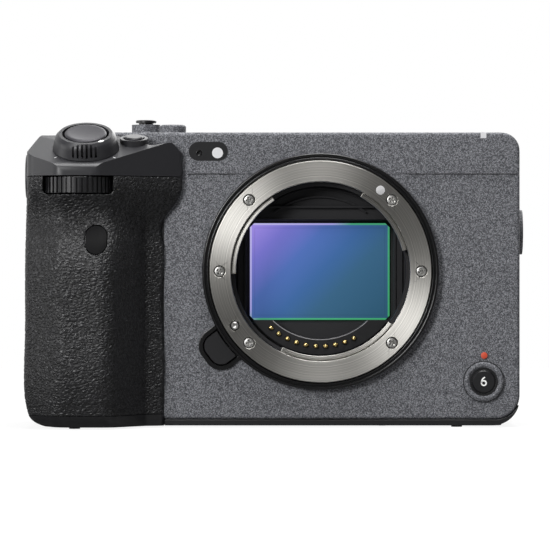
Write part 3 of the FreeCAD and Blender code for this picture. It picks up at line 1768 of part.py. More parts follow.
def make_rear_cover():
    left, middle, right = -size.body_left, -size.grip_edge + gap, size.body_right
    wall = size.wall
    back = -size.rear_depth
    front_main = size.parting_depth - gap
    front_left = -size.grip_back - gap
    cover = Body("rear_cover_body", "front")
    cover.pad(
        outline(
            (middle, cover_low),
            (right, cover_low, size.corner_cover),
            (right, cover_high),
            (middle, cover_high),
        ),
        back,
        front_main - back,
    )
    cover.pad(
        outline((left, 0, size.corner_left), (middle, 0), (middle, cover_high), (left, cover_high)),
        back,
        front_left - back,
    )
    cover.pocket(
        outline(
            (middle + wall, cover_low + wall),
            (right - wall, cover_low + wall, size.corner_cover - wall),
            (right - wall, cover_high + 1),
            (middle + wall, cover_high + 1),
        ),
        front_main + 1,
        front_main + 1 - back - wall,
    )
    cover.pocket(
        outline(
            (left + wall, wall, size.corner_left - wall),
            (middle + wall + 1, wall * 2),
            (middle + wall + 1, cover_high + 1),
            (left + wall, cover_high + 1),
        ),
        front_left - wall,
        front_left - wall * 2 - back,
    )
    boss = rod("tripod_boss", "top", (0, 0, cover_low + gap * 2), boss_radius, insert_length)
    cuts = [rod("tripod_hole", "top", (0, 0, -1), insert_radius, insert_length + gap + 1)]
    recess = size.wheel_sunk + gap
    wheel = (-size.wheel_across, size.rear_depth - recess, size.wheel_height)
    cuts.append(rod("wheel_recess", "rear", wheel, size.wheel_radius + play, through))
    for x, z in rear_buttons().values():
        origin = (x, size.rear_depth - size.rear_button_depth, z)
        cuts.append(rod("rear_button_hole", "rear", origin, size.rear_button_radius + play, through))
    inside = right - wall - gap
    for low, high in side_doors().values():
        low_corner = (inside, size.doors_front - play, low - play)
        cuts.append(block("door_opening", low_corner, (right + 1, size.doors_rear + play, high + play)))
    for index in range(SIZES["vent_count"]):
        low = size.vent_low + size.vent_pitch * index
        far = (right + over, size.vent_rear, low + size.vent_slot)
        cuts.append(block("vent", (inside, size.vent_front, low), far))
    low_corner = (left - 1, size.card_front - play, size.card_low - play)
    far = (left + wall + gap, size.card_rear + play, size.card_high + play)
    cuts.append(block("card_opening", low_corner, far))
    node("rear_cover", minus("rear_cover", together("rear_cover_whole", cover.body, boss), *cuts))


def rear_buttons():
    return {
        "menu_button": (-size.menu_across, size.menu_height),
        "play_button": (-size.play_across, size.play_height),
    }


def side_doors():
    return {
        "audio_door": (size.audio_low, size.audio_high),
        "video_door": (size.video_low, size.video_high),
    }


def make_bottom():
    left, right = -size.grip_edge + gap, size.body_right
    plate = prism(
        "plate",
        "front",
        outline(
            (left, 0),
            (right, 0, size.corner_bottom),
            (right, size.plate_blank),
            (left, size.plate_blank),
        ),
        -size.rear_depth,
        size.rear_depth + front_face,
    )
    above = block(
        "plate_above",
        (left - over, -front_face - over, size.plate_lip),
        (right + over, size.rear_depth + over, size.plate_blank + over),
    )
    inner = size.plate_thickness
    grow = over * 3
    room = prism(
        "plate_room",
        "front",
        outline(
            (left - grow, inner),
            (right + gap, inner, size.corner_cover + gap),
            (right + gap, size.plate_lip + grow),
            (left - grow, size.plate_lip + grow),
        ),
        -size.rear_depth - grow,
        size.rear_depth + front_face + grow * 2,
    )
    hole = rod("plate_hole", "top", (0, 0, -over), insert_radius, through)
    node("bottom_plate", minus("bottom_plate", plate, room, above, hole))
    feet = doc.addObject("Part::Compound", "base_feet")
    spots = (
        (size.foot_right, -size.foot_front),
        (size.foot_right, size.foot_rear),
        (-size.foot_left, -size.foot_grip),
        (-size.foot_left, size.foot_rear),
    )
    height = size.foot_height
    feet.Links = [rod("foot", "top", (x, y, -height), size.foot_radius, height) for x, y in spots]
    node("base_feet", feet)


def insert(facing, mouth):
    """A threaded insert, open at its mouth and closed at its inner end."""
    start = raised(facing, mouth, -insert_length)
    body = rod("insert", facing, start, insert_radius, insert_length)
    origin = raised(facing, mouth, -size.thread_depth)
    bore = rod("insert_bore", facing, origin, size.thread_radius, size.thread_depth + over)
    return minus("insert_cut", body, bore)


def make_inserts():
    high = size.body_height
    made = [insert("top", (x, y, high)) for x, y in top_inserts()]
    made.append(insert("right", (right_boss_face, -size.right_boss_forward, size.right_boss_height)))
    left_face = -size.body_left - size.left_boss_proud
    made.append(insert("left", (left_face, size.left_boss_back, size.left_boss_height)))
    tripod = rod("tripod_insert", "top", (0, 0, 0), insert_radius, insert_length)
    bore = rod("tripod_bore", "top", (0, 0, -1), size.thread_radius, size.thread_depth + 1)
    made.append(minus("tripod_cut", tripod, bore))
    group = doc.addObject("Part::Compound", "thread_inserts")
    group.Links = made
    node("thread_inserts", group)

    start = -size.body_left - size.left_boss_proud + size.left_boss_length
    boss = Body("side_boss", "left", (start, size.left_boss_back, size.left_boss_height))
    radius, length = size.left_boss_radius, size.left_boss_length
    floor = length - insert_length
    boss.turn(
        (0, 0),
        (radius, 0),
        (radius, length - size.left_boss_chamfer),
        (radius - size.left_boss_chamfer, length),
        (insert_radius, length),
        (insert_radius, floor),
        (0, floor),
    )
    node("side_boss", boss)


# Rear controls, monitor and thumb rest


def make_rear_controls():
    back = size.rear_depth
    wheel = Body("control_wheel", "rear", (-size.wheel_across, back - size.wheel_sunk, size.wheel_height))
    rise = size.wheel_sunk + size.wheel_proud
    outer, bore = size.wheel_radius, size.wheel_bore
    wheel.turn(
        (bore, 0),
        (outer, 0),
        (outer, rise - size.wheel_edge),
        (outer - size.wheel_edge, rise),
        (bore + size.wheel_dish, rise),
        (bore, rise - size.wheel_dish_depth),
    )
    notch = circle(outer + size.notch_offset, 0, size.notch_radius)
    made = wheel.pocket(notch, rise, rise)
    wheel.repeat(made, SIZES["wheel_notches"])
    node("control_wheel", wheel)

    lift = size.button_travel + gap
    depth = size.wheel_sunk - lift
    centre = Body("centre_button", "rear", (-size.wheel_across, back - depth, size.wheel_height))
    radius = size.wheel_bore - play
    rise = depth + size.wheel_proud + size.centre_rise
    edge = size.button_round
    middle = rise - size.centre_dish
    centre.turn((0, 0), (radius, 0), (radius, rise - edge), (radius - edge, rise), (0, middle))
    node("centre_button", centre)
    for name, (x, z) in rear_buttons().items():
        depth = size.rear_button_depth - lift
        button = Body(name, "rear", (x, back - depth, z))
        rise = depth + size.rear_button_proud
        radius, edge = size.rear_button_radius, size.button_edge
        button.turn((0, 0), (radius, 0), (radius, rise - edge), (radius - edge, rise), (0, rise))
        node(name, button)

    rest = outline(
        (-size.thumb_left, back),
        (-size.thumb_right, back),
        (-size.thumb_right - size.thumb_slant, size.thumb_base, size.thumb_round),
        (-size.thumb_ridge_right, size.thumb_reach, size.thumb_ridge_round),
        (-size.thumb_ridge_left, size.thumb_reach, size.thumb_ridge_round),
        (-size.thumb_hollow, size.thumb_base, size.thumb_hollow_round),
        (-size.thumb_end, size.thumb_end_reach, size.thumb_end_round),
    )
    node("thumb_rest", prism("thumb_rest", "top", rest, size.thumb_low, size.thumb_high - size.thumb_low))


def make_monitor():
    near = size.rear_depth + size.monitor_gap
    far = near + size.monitor_thickness
    left, right = -size.monitor_left, size.monitor_right
    low, high = size.monitor_bottom, size.monitor_top
    case = Body("monitor_case", "front")
    case.pad(rectangle(left, low, right, high, size.monitor_corner), -far, size.monitor_thickness)
    case.round_off("Fillet", size.edge_round, at_height(-far))
    margin = size.glass_margin
    glass_shape = rectangle(
        left + margin, low + margin, right - margin, high - margin, size.monitor_corner - margin / 2
    )
    recess = prism("glass_recess", "front", glass_shape, -far - over, size.glass_thickness + over)
    pivot_y = near + size.monitor_thickness / 2
    bar_low, bar_high = size.hinge_low + size.hinge_ear + play, size.hinge_high - size.hinge_ear - play
    pivot = (size.hinge_across, pivot_y)
    bar = rod("hinge_bar", "top", (*pivot, bar_low), size.hinge_radius, bar_high - bar_low)
    half = size.hinge_web / 2
    low_corner = (right - size.hinge_overlap, pivot_y - half, bar_low)
    web = block("hinge_web", low_corner, (size.hinge_across, pivot_y + half, bar_high))
    bore = rod("bar_bore", "top", (*pivot, 0), size.hinge_pin + size.hinge_fit, through)
    frame = minus("monitor_frame", together("monitor_whole", case.body, bar, web), recess, bore)
    node("monitor_frame", frame)
    glass = prism("monitor_glass", "front", glass_shape, -far, size.glass_thickness)
    node("monitor_glass", glass)

    ears = []
    for ear_low in (size.hinge_low, size.hinge_high - size.hinge_ear):
        ears.append(rod("ear", "top", (*pivot, ear_low), size.hinge_radius, size.hinge_ear))
        half = size.hinge_radius - size.hinge_narrow
        low_corner = (size.hinge_across - half, size.rear_depth, ear_low)
        far = (size.hinge_across + half, pivot_y, ear_low + size.hinge_ear)
        ears.append(block("ear_arm", low_corner, far))
    pin_low = size.hinge_low + size.hinge_pin_inset
    pin_length = size.hinge_high - size.hinge_pin_inset - pin_low
    ears.append(rod("hinge_pin", "top", (*pivot, pin_low), size.hinge_pin, pin_length))
    node("monitor_hinge", together("monitor_hinge", *ears))


# Doors, sockets, cards and battery


JACKS = (6.0, 14.0)  # tripod socket back to the middle of each sound socket
SOCKETS = {  # front, low, rear and high side of each other socket
    "video_socket": (5.0, 22.0, 9.6, 32.6),
    "data_socket": (11.5, 12.5, 14.2, 21.5),
    "wide_socket": (5.0, 12.5, 8.2, 19.5),
}


def make_doors():
    right = size.body_right
    inner = right - size.skin
    round_end = size.skin / 2 - size.door_end_gap
    for name, (low, high) in side_doors().items():
        shape = outline(
            (inner, size.doors_front),
            (right, size.doors_front),
            (right, size.doors_rear, round_end),
            (inner, size.doors_rear, round_end),
        )
        node(name, prism(name, "top", shape, low, high - low))
    left = -size.body_left
    shape = outline(
        (left, size.card_front),
        (left + size.skin, size.card_front),
        (left + size.skin, size.card_rear, round_end),
        (left, size.card_rear, round_end),
    )
    node("card_door", prism("card_door", "top", shape, size.card_low, size.card_high - size.card_low))

    face = right - size.wall - gap * 2
    low_corner = (face - size.block_depth, size.block_front, size.video_low)
    box = block("socket_block", low_corner, (face, size.block_rear, size.audio_high))
    start = face - size.jack_depth
    holes = [rod("jack", "right", (start, y, size.jack_height), size.jack_radius, through) for y in JACKS]
    for name, (near, low, far, high) in SOCKETS.items():
        holes.append(block(name, (start, near, low), (face + over, far, high)))
    node("terminal_block", minus("terminal_block", box, *holes))

    left_end = left + size.wall + gap * 4
    front = size.grip_back + gap + size.wall + gap
    back = size.rear_depth - size.wall - gap
    cage = block("cage", (left_end, front, size.card_low), (-size.cage_right, back, size.card_high))
    slots = []
    for index in range(2):
        y = front + size.card_wall + (size.card_slot + size.card_wall) * index
        low_corner = (left_end - over, y, size.card_low + size.card_end)
        far = (-size.cage_right - size.card_floor, y + size.card_slot, size.card_high - size.card_end)
        slots.append(block("slot", low_corner, far))
    node("card_cage", minus("card_cage", cage, *slots))


def make_battery():
    right = -size.battery_right
    left = right - size.battery_width
    front = size.battery_back - size.battery_depth
    shape = rectangle(left, front, right, size.battery_back, size.battery_corner)
    pack = prism("battery_pack", "top", shape, size.battery_bottom, size.battery_height)
    high = size.battery_bottom + size.battery_height
    contacts = block(
        "battery_contacts",
        (left + size.strip_side, front + size.strip_front, high - size.strip_depth),
        (right - size.strip_side, front + size.strip_rear, high + over),
    )
    node("battery", minus("battery", pack, contacts))
    node("battery_door", door_box("battery_door", 0, 0, size.door_thickness))


def make_record_button():
    low = front_face + size.record_collar_proud - size.record_depth
    button = Body("record_button", "front", (size.record_across, -low, size.record_height))
    rise = size.record_depth - size.record_collar_proud + size.record_proud
    radius, edge = size.record_button, size.button_round
    button.turn((0, 0), (radius, 0), (radius, rise - edge), (radius - edge, rise), (0, rise))
    node("record_button", button)


make_front_cover()
make_mount()
make_baffle()
make_shutter()
make_sensor()
make_fan()
make_grip()
make_hood()
make_lever()
make_dials()
make_top_cover()
make_focus_window()
make_top_controls()
make_shoe()
make_rear_cover()
make_bottom()
make_inserts()
make_rear_controls()
make_monitor()
make_doors()
make_battery()
make_record_button()
doc.recompute()

for thing in doc.Objects:
    if "Invalid" in thing.State or "Error" in thing.State:
        raise ValueError(f"{thing.Label} did not build")
os.makedirs("parts", exist_ok=True)
for name, thing in nodes.items():
    shape = thing.Shape
    if shape.isNull() or not shape.isValid() or not shape.Solids:
        raise ValueError(f"{name} has no good solid")
    shape.exportStep(f"parts/{name}.step")
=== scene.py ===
"""Looks of the cinema camera: finishes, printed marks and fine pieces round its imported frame.

The lens looks along -Y, +X is to the right of someone who faces the lens, and +Z is up.
Sizes are written in millimetres and turned to metres where a mesh or a node takes them.
"""

import math

import bmesh
import bpy
import numpy as np
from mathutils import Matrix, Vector


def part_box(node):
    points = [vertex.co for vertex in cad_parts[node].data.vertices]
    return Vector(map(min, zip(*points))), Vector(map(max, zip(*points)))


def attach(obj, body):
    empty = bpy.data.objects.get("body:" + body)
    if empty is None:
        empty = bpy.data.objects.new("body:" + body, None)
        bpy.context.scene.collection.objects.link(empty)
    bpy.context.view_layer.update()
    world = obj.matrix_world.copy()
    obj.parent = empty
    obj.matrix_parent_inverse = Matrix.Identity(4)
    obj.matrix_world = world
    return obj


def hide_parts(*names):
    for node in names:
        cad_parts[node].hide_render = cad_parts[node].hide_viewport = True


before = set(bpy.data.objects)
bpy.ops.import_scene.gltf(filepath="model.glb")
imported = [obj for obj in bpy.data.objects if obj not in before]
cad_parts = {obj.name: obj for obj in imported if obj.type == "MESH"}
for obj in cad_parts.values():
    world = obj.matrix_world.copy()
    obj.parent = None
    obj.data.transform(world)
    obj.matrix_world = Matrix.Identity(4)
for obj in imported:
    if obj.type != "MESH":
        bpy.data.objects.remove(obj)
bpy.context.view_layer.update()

bl_info = {
    "name": "Cinema camera looks",
    "version": (1, 0, 0),
    "blender": (4, 5, 0),
    "location": "3D View > Sidebar > Camera looks",
    "description": "Dresses the packed cinema camera with its finishes, marks and fine pieces",
    "category": "Object",
}

MM = 0.001


def mm_box(node):
    """Lowest and highest corner of a node of the frame, in millimetres."""
    low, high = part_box(node)
    return np.array(low) / MM, np.array(high) / MM


# Places read from the frame, in millimetres
MOUNT_LOW, MOUNT_HIGH = mm_box("mount_ring")
LENS_X = (MOUNT_LOW[0] + MOUNT_HIGH[0]) / 2
LENS_Z = (MOUNT_LOW[2] + MOUNT_HIGH[2]) / 2
TRIM_Y = mm_box("mount_trim_ring")[0][1]
FLANGE_Y = MOUNT_LOW[1]
FRONT_Y = mm_box("front_cover")[0][1]

# Places that one node's box doesn't give
TOP_Z = 75.4  # upper face of the top cover
COVER_SEAM = 64.7  # joint between the top cover and the front cover


def linear(code):
    """Linear colour of an sRGB hex code."""
    values = [int(code[i : i + 2], 16) / 255 for i in (1, 3, 5)]
    return tuple(v / 12.92 if v <= 0.04045 else ((v + 0.055) / 1.055) ** 2.4 for v in values)


def tint(name, description, code):
    """A colour that a user may change."""
    return bpy.props.FloatVectorProperty(
        name=name, description=description, subtype="COLOR", size=3, min=0, max=1, default=linear(code)
    )


def length(name, description, millimetres):
    """A length that a user may change, in metres."""
    return bpy.props.FloatProperty(
        name=name, description=description, default=millimetres * MM, min=0, unit="LENGTH", precision=5
    )


class CameraColours(bpy.types.PropertyGroup):
    """Colours of the finishes"""

    paint: tint("Body paint", "Mid tone of the flecked paint on the covers", "#5a5b5f")
    paint_dark: tint("Paint hollows", "Dark flecks of the paint", "#333438")
    paint_light: tint("Paint flakes", "Light flecks of the paint", "#8c8d92")
    leather: tint("Grip rubber", "Rubber of the grip, on the pebbles of its leather grain", "#242426")
    # Painted shade: the creases' colour is darkened to stand in for the shade that falls in them
    crease_shade: tint("Grip creases", "Rubber of the grip, between the pebbles", "#09090a")
    plastic: tint("Black plastic", "Moulded black plastic of the hood, dials and doors", "#18181a")
    button: tint("Grey button", "Satin grey of the shutter button", "#3a393d")
    gloss: tint("Gloss black", "Polished black plastic round the mount", "#0d0d0e")
    steel: tint("Mount steel", "Turned face of the lens mount", "#bcbab5")
    gold: tint("Contact gold", "Gold plate on the contacts", "#e6cd8c")
    cavity: tint("Cavity black", "Dull black inside the mount", "#232325")
    screen: tint("Screen", "Dark glass of the monitor", "#0b0c10")
    board: tint("Board", "Solder mask on the main board", "#123527")
    aluminium: tint("Aluminium", "Bare pressed aluminium inside", "#8d8f92")
    lamp: tint("Lamp", "Milky plastic of the lamps", "#d6d6d8")
    print_white: tint("White print", "Printed marks", "#b9b9ba")
    print_red: tint("Red print", "Printed mark over the record button", "#c2492f")


class CameraSizes(bpy.types.PropertyGroup):
    """Sizes of patterns and fine pieces"""

    fleck: length("Paint fleck", "Width of one fleck of the paint", 0.22)
    grain: length("Leather grain", "Width of one pebble of the grip's grain", 0.9)
    turning: length("Turning marks", "Pitch of the turning marks, drawn coarse enough to show", 0.25)
    thread_pitch: length("Thread pitch", "Pitch of the quarter inch threads", 1.27)
    screw_head: length("Screw head", "Radius of the mount's screw heads", 1.33)
    index_dot: length("Index dot", "Radius of the white dot on the mount", 1.15)


class CameraLooks(bpy.types.PropertyGroup):
    """All that a user may change"""

    colours: bpy.props.PointerProperty(type=CameraColours)
    sizes: bpy.props.PointerProperty(type=CameraSizes)


# Materials


def join(tree, node, links):
    """Links a node's inputs to sockets, or to the first outputs of other nodes."""
    for key, source in dict(links).items():
        socket = source.outputs[0] if isinstance(source, bpy.types.Node) else source
        tree.links.new(socket, node.inputs[key])


def add(tree, kind, settings=(), links=()):
    """Adds a shader node, sets its attributes, inputs or colour stops, and joins its inputs."""
    made = tree.nodes.new("ShaderNode" + kind)
    for key, value in dict(settings).items():
        if key == "stops":
            row = made.color_ramp.elements
            while len(row) < len(value):
                row.new(0.5)
            for element, (share, colour) in zip(row, value):
                element.position = share
                element.color = (*colour, 1)
        elif isinstance(key, str) and hasattr(made, key):
            setattr(made, key, value)
        else:
            made.inputs[key].default_value = value
    join(tree, made, links)
    return made


def new_finish(name, colour, settings):
    """A material of one colour and its shader's settings, with its tree and shader."""
    material = bpy.data.materials.new(name)
    material.use_nodes = True
    tree = material.node_tree
    shader = tree.nodes["Principled BSDF"]
    shader.inputs["Base Color"].default_value = (*colour, 1)
    for key, value in settings.items():
        shader.inputs[key].default_value = value
    return material, tree, shader


def flecked_paint(looks):
    """Baked paint with metal flakes on magnesium: dark and light flecks a fifth of a millimetre wide."""
    colours, fleck = looks.colours, looks.sizes.fleck
    material, tree, shader = new_finish("flecked_baked_paint", colours.paint, {
        "Metallic": 0.1, "Roughness": 0.55, "Specular IOR Level": 0.25,
    })
    place = add(tree, "TexCoord").outputs["Object"]
    flakes = add(tree, "TexVoronoi", {"Scale": 1 / fleck}, {"Vector": place}).outputs["Color"]
    stops = ((0.1, colours.paint_dark), (0.5, colours.paint), (0.9, colours.paint_light))
    shade = add(tree, "ValToRGB", {"stops": stops}, {"Fac": flakes})
    grain = {"Scale": 1 / fleck, "Detail": 1.5, "Roughness": 0.7}
    noise = add(tree, "TexNoise", grain, {"Vector": place})
    relief = add(tree, "Bump", {"Strength": 0.7, "Distance": 0.03 * MM}, {"Height": noise})
    join(tree, shader, {"Base Color": shade, "Normal": relief})
    return material


CREASE_BEND = 1.5  # length over which the creases wander, in mm
CREASE_REACH = 0.7  # how far they wander
CREASE_DEPTH = 0.16


def leather_rubber(looks):
    """Moulded thermoplastic rubber: duller in the creases, and darker there with painted shade, so the
    pebbles look paler.

    The mesh has the large grain, and a fine net of creases lies over it as a bump.
    """
    colours = looks.colours
    finish = {"Specular IOR Level": 0.45}
    material, tree, shader = new_finish("leather_grain_rubber", colours.leather, finish)
    grain = add(tree, "Attribute", {"attribute_name": GRAIN}).outputs["Fac"]
    # Painted shade darkens the colour from the pebbles down into the creases
    stops = ((0.0, colours.crease_shade), (0.8, colours.leather))
    shade = add(tree, "ValToRGB", {"stops": stops}, {"Fac": grain})
    dull = add(tree, "MapRange", {"To Min": 0.55, "To Max": 0.36}, {"Value": grain})
    place = add(tree, "TexCoord").outputs["Object"]
    stretched = add(tree, "VectorMath", {"operation": "MULTIPLY", 1: GRAIN_STRETCH}, {0: place})
    wander = add(tree, "TexNoise", {"Scale": 1 / (CREASE_BEND * MM)}, {"Vector": stretched})
    scale = {"operation": "MULTIPLY_ADD", 1: (CREASE_REACH * MM,) * 3}
    shifted = add(tree, "VectorMath", scale, {0: wander.outputs["Color"], 2: stretched})
    net = {"feature": "DISTANCE_TO_EDGE", "Scale": 1 / looks.sizes.grain}
    cells = add(tree, "TexVoronoi", net, {"Vector": shifted}).outputs["Distance"]
    slope = {"interpolation_type": "SMOOTHSTEP", "From Max": 0.3}
    height = add(tree, "MapRange", slope, {"Value": cells})
    relief = add(tree, "Bump", {"Strength": 0.9, "Distance": CREASE_DEPTH * MM}, {"Height": height})
    join(tree, shader, {"Base Color": shade, "Roughness": dull, "Normal": relief})
    return material


def from_middle(tree, node):
    """Place of a point from the middle of a node, and the node's half size, in metres."""
    low, high = mm_box(node)
    middle = tuple((low + high) / 2 * MM)
    place = add(tree, "TexCoord").outputs["Object"]
    offset = add(tree, "VectorMath", {"operation": "SUBTRACT", 1: middle}, {0: place})
    return offset, (high - low) / 2 * MM


TURNED_SHADES = ((0.3, 0.72), (0.7, 1.25))  # share of the steel's colour along the turning marks


def turned_steel(looks):
    """Chromed brass, turned on a lathe: fine circular marks that pull highlights into radial sectors."""
    steel = looks.colours.steel
    material, tree, shader = new_finish(
        "turned_chromed_brass", steel, {"Metallic": 1.0, "Roughness": 0.5, "Anisotropic": 0.88}
    )
    offset = from_middle(tree, "mount_ring")[0]
    across = add(tree, "VectorMath", {"operation": "MULTIPLY", 1: (1, 0, 1)}, {0: offset})
    around = add(tree, "VectorMath", {"operation": "NORMALIZE"}, {0: across})
    radius = add(tree, "VectorMath", {"operation": "LENGTH"}, {0: across}).outputs["Value"]
    place = add(tree, "TexCoord").outputs["Object"]
    wander = add(tree, "TexNoise", {"Scale": 1 / (4 * MM)}, {"Vector": place})
    turns = add(tree, "Math", {"operation": "MULTIPLY", 1: 1 / looks.sizes.turning}, {0: radius})
    shifted = add(tree, "Math", {"operation": "MULTIPLY_ADD", 1: 1.5}, {0: wander, 2: turns})
    marks = add(tree, "TexNoise", {"noise_dimensions": "1D", "Scale": 1.0, "Detail": 3.0}, {"W": shifted})
    stops = [(share, [level * channel for channel in steel]) for share, level in TURNED_SHADES]
    shade = add(tree, "ValToRGB", {"stops": stops}, {"Fac": marks})
    relief = add(tree, "Bump", {"Strength": 0.6, "Distance": 0.012 * MM}, {"Height": marks})
    join(tree, shader, {"Base Color": shade, "Normal": relief, "Tangent": around})
    return material


def plain_finish(
    name, colour, roughness, width, height, metallic=0.0, specular=0.5, coat=0.0, strength=0.6
):
    """One colour with a fine noise bump of a width and height in millimetres."""
    material, tree, shader = new_finish(name, colour, {
        "Roughness": roughness, "Metallic": metallic, "Specular IOR Level": specular, "Coat Weight": coat,
    })
    place = add(tree, "TexCoord").outputs["Object"]
    noise = add(tree, "TexNoise", {"Scale": 1 / (width * MM)}, {"Vector": place})
    relief = add(tree, "Bump", {"Strength": strength, "Distance": height * MM}, {"Height": noise})
    join(tree, shader, {"Normal": relief})
    return material


FILTER_PAINTED_GLOW = 0.85  # painted glow: emitted light that stands in for the light the coating reflects out of its dark well
# Colours along the diagonal from the upper left corner to the lower right one
FILTER_FIELD = (
    (0.0, "#a892ee"), (0.17, "#7a77d0"), (0.34, "#4c69ac"),
    (0.5, "#3a6094"), (0.65, "#355c7a"), (1.0, "#284f66"),
)
FILTER_RIM = ((0.0, "#c9c2f7"), (0.36, "#a9a6e4"), (0.44, "#4aa67c"), (1.0, "#3f9f68"))
FILTER_EDGE = (-0.55, -0.4)  # from the field to the ground edge, in mm inside the outline
FILTER_LINE = (-1.25, 0.09)  # place and half width of the hairline


def coated_filter():
    """Interference coating on the sensor's filter: violet to blue to teal from corner to corner.

    The ground edge shows lavender towards the upper left and green elsewhere, and a dark hairline
    inside it marks the light-sensitive field. These colours are mostly given out as a painted glow,
    which stands in for the light that the coating reflects.
    """
    material, tree, shader = new_finish(
        "coated_filter_glass", linear("#40669b"),
        {"Roughness": 0.2, "Specular IOR Level": 0.3, "Emission Strength": FILTER_PAINTED_GLOW},
    )
    offset, half = from_middle(tree, "sensor_glass")
    scaled = add(
        tree, "VectorMath", {"operation": "MULTIPLY", 1: (0.3 / half[0], 0, -0.2 / half[2])}, {0: offset}
    )
    along = add(tree, "VectorMath", {"operation": "DOT_PRODUCT", 1: (1, 0, 1)}, {0: scaled})
    factor = add(tree, "Math", {"operation": "ADD", 1: 0.5}, {0: along.outputs["Value"]})
    field, rim = (
        add(tree, "ValToRGB", {"stops": [(share, linear(code)) for share, code in row]}, {"Fac": factor})
        for row in (FILTER_FIELD, FILTER_RIM)
    )
    spread = add(tree, "VectorMath", {"operation": "ABSOLUTE"}, {0: offset})
    inner = add(tree, "VectorMath", {"operation": "SUBTRACT", 1: (half[0], 0, half[2])}, {0: spread})
    parts = add(tree, "SeparateXYZ", (), {0: inner}).outputs
    nearest = add(tree, "Math", {"operation": "MAXIMUM"}, {0: parts[0], 1: parts[2]})
    first, last = (place * MM for place in FILTER_EDGE)
    edge = add(tree, "MapRange", {"From Min": first, "From Max": last}, {"Value": nearest})
    middle_line, half_line = (size * MM for size in FILTER_LINE)
    line = add(tree, "Math", {"operation": "COMPARE", 1: middle_line, 2: half_line}, {0: nearest})
    shade = add(tree, "MapRange", {"To Min": 1.0, "To Max": 0.85}, {"Value": line})
    dimmed = add(tree, "VectorMath", {"operation": "SCALE"}, {0: field, "Scale": shade})
    painted_glow_colour = add(tree, "Mix", {"data_type": "RGBA"}, {0: edge, 6: dimmed, 7: rim}).outputs[2]
    # The painted glow carries the coating's colours, and the base colour is a dimmed copy of them
    body = add(tree, "VectorMath", {"operation": "SCALE", "Scale": 0.45}, {0: painted_glow_colour})
    join(tree, shader, {"Base Color": body, "Emission Color": painted_glow_colour})
    return material


SCREEN_BORDERS = ((0, 3.2), (2, 3.6))  # axis and width of the printed border, in mm


def screen_glass(looks):
    """Touch screen glass over a dark display, with a printed border that is blacker still."""
    material, tree, shader = new_finish(
        "touch_screen_glass", looks.colours.screen,
        {"Roughness": 0.06, "Specular IOR Level": 0.5, "Coat Weight": 0.5},
    )
    offset, half = from_middle(tree, "monitor_glass")
    spread = add(tree, "VectorMath", {"operation": "ABSOLUTE"}, {0: offset})
    parts = add(tree, "SeparateXYZ", (), {0: spread}).outputs
    side, edge = (
        add(tree, "Math", {"operation": "GREATER_THAN", 1: half[axis] - width * MM}, {0: parts[axis]})
        for axis, width in SCREEN_BORDERS
    )
    border = add(tree, "Math", {"operation": "MAXIMUM"}, {0: side, 1: edge})
    stops = ((0.0, looks.colours.screen), (1.0, linear("#040405")))
    colour = add(tree, "ValToRGB", {"stops": stops}, {"Fac": border})
    join(tree, shader, {"Base Color": colour})
    return material


def printed_board(looks):
    """Solder mask over copper tracks on glass-fibre board."""
    material, tree, shader = new_finish("solder_mask", looks.colours.board, {"Roughness": 0.35})
    place = add(tree, "TexCoord").outputs["Object"]
    pattern = {"Scale": 1 / (4 * MM), "Mortar Size": 0.06}
    tracks = add(tree, "TexBrick", pattern, {"Vector": place}).outputs["Fac"]
    stops = ((0.0, looks.colours.board), (1.0, linear("#2c6a4c")))
    colour = add(tree, "ValToRGB", {"stops": stops}, {"Fac": tracks})
    join(tree, shader, {"Base Color": colour})
    return material


def make_finishes(looks):
    """Every finish, named for the real material and how its surface was made.

    A plain one has its colour, its roughness, and the width and height of its bump in millimetres.
    """
    colours = looks.colours
    return {
        "paint": flecked_paint(looks),
        "leather": leather_rubber(looks),
        "steel": turned_steel(looks),
        "filter": coated_filter(),
        "screen": screen_glass(looks),
        "board": printed_board(looks),
        # Black with a soft sheen and no clear reflections
        "rubber": plain_finish("moulded_rubber", colours.leather, 0.5, 0.9, 0.12, specular=0.3),
        # Satin black with a fine spark-eroded texture
        "plastic": plain_finish(
            "moulded_polycarbonate", colours.plastic, 0.36, 0.25, 0.008, strength=0.5
        ),
        "satin": plain_finish("satin_polycarbonate", linear("#252528"), 0.42, 0.25, 0.008),
        # Deep gloss with the faintest waviness
        "gloss": plain_finish("polished_abs", colours.gloss, 0.26, 2.5, 0.01, strength=0.3),
        # Pale warm mirror, a little blurred
        "gold": plain_finish("gold_plate", colours.gold, 0.28, 0.3, 0.01, metallic=1),
        # So dull that it shows its shape only where a lamp strikes it
        # It also colours a dark ring and dark strips that are painted shade in a groove and a seam
        "cavity": plain_finish("dull_black_coating", colours.cavity, 0.6, 0.3, 0.02, specular=0.25),
        # Greys with broad soft highlights
        "aluminium": plain_finish("pressed_aluminium", colours.aluminium, 0.38, 0.6, 0.02, metallic=1),
        "button": plain_finish("satin_anodised_aluminium", colours.button, 0.45, 0.3, 0.01, metallic=0.5),
        "metal": plain_finish("nickel_plated_steel", linear("#7c7d80"), 0.42, 0.5, 0.01, metallic=1),
        # Brighter than the ring that the screws hold
        "screw": plain_finish("chromed_steel", linear("#c6c5c2"), 0.36, 0.5, 0.01, metallic=1),
        # Pale and clouded under a clear surface
        "lamp": plain_finish("milky_acrylic", colours.lamp, 0.3, 0.5, 0.01, coat=0.3),
        # Nearly black, with hardly a reflection
        "smoked": plain_finish("smoked_acrylic", linear("#0a0a0b"), 0.6, 0.8, 0.005, specular=0.08),
        # Flat ink
        "white": plain_finish("white_pad_print", colours.print_white, 0.5, 0.2, 0.005),
        "marks": plain_finish("bright_white_pad_print", linear("#f1f1ef"), 0.5, 0.2, 0.005),
        "red": plain_finish("red_pad_print", colours.print_red, 0.5, 0.2, 0.005),
        # A painted highlight: a grey line that stands in for light along a rounded black plastic edge
        "edge": plain_finish("painted_highlight_plastic_edge", linear("#8a898c"), 0.4, 0.4, 0.01),
    }


GRAIN = "grain"  # attribute of the grip's skin: 0 in its creases and 1 on its pebbles
finishes = {}  # filled by the first operator

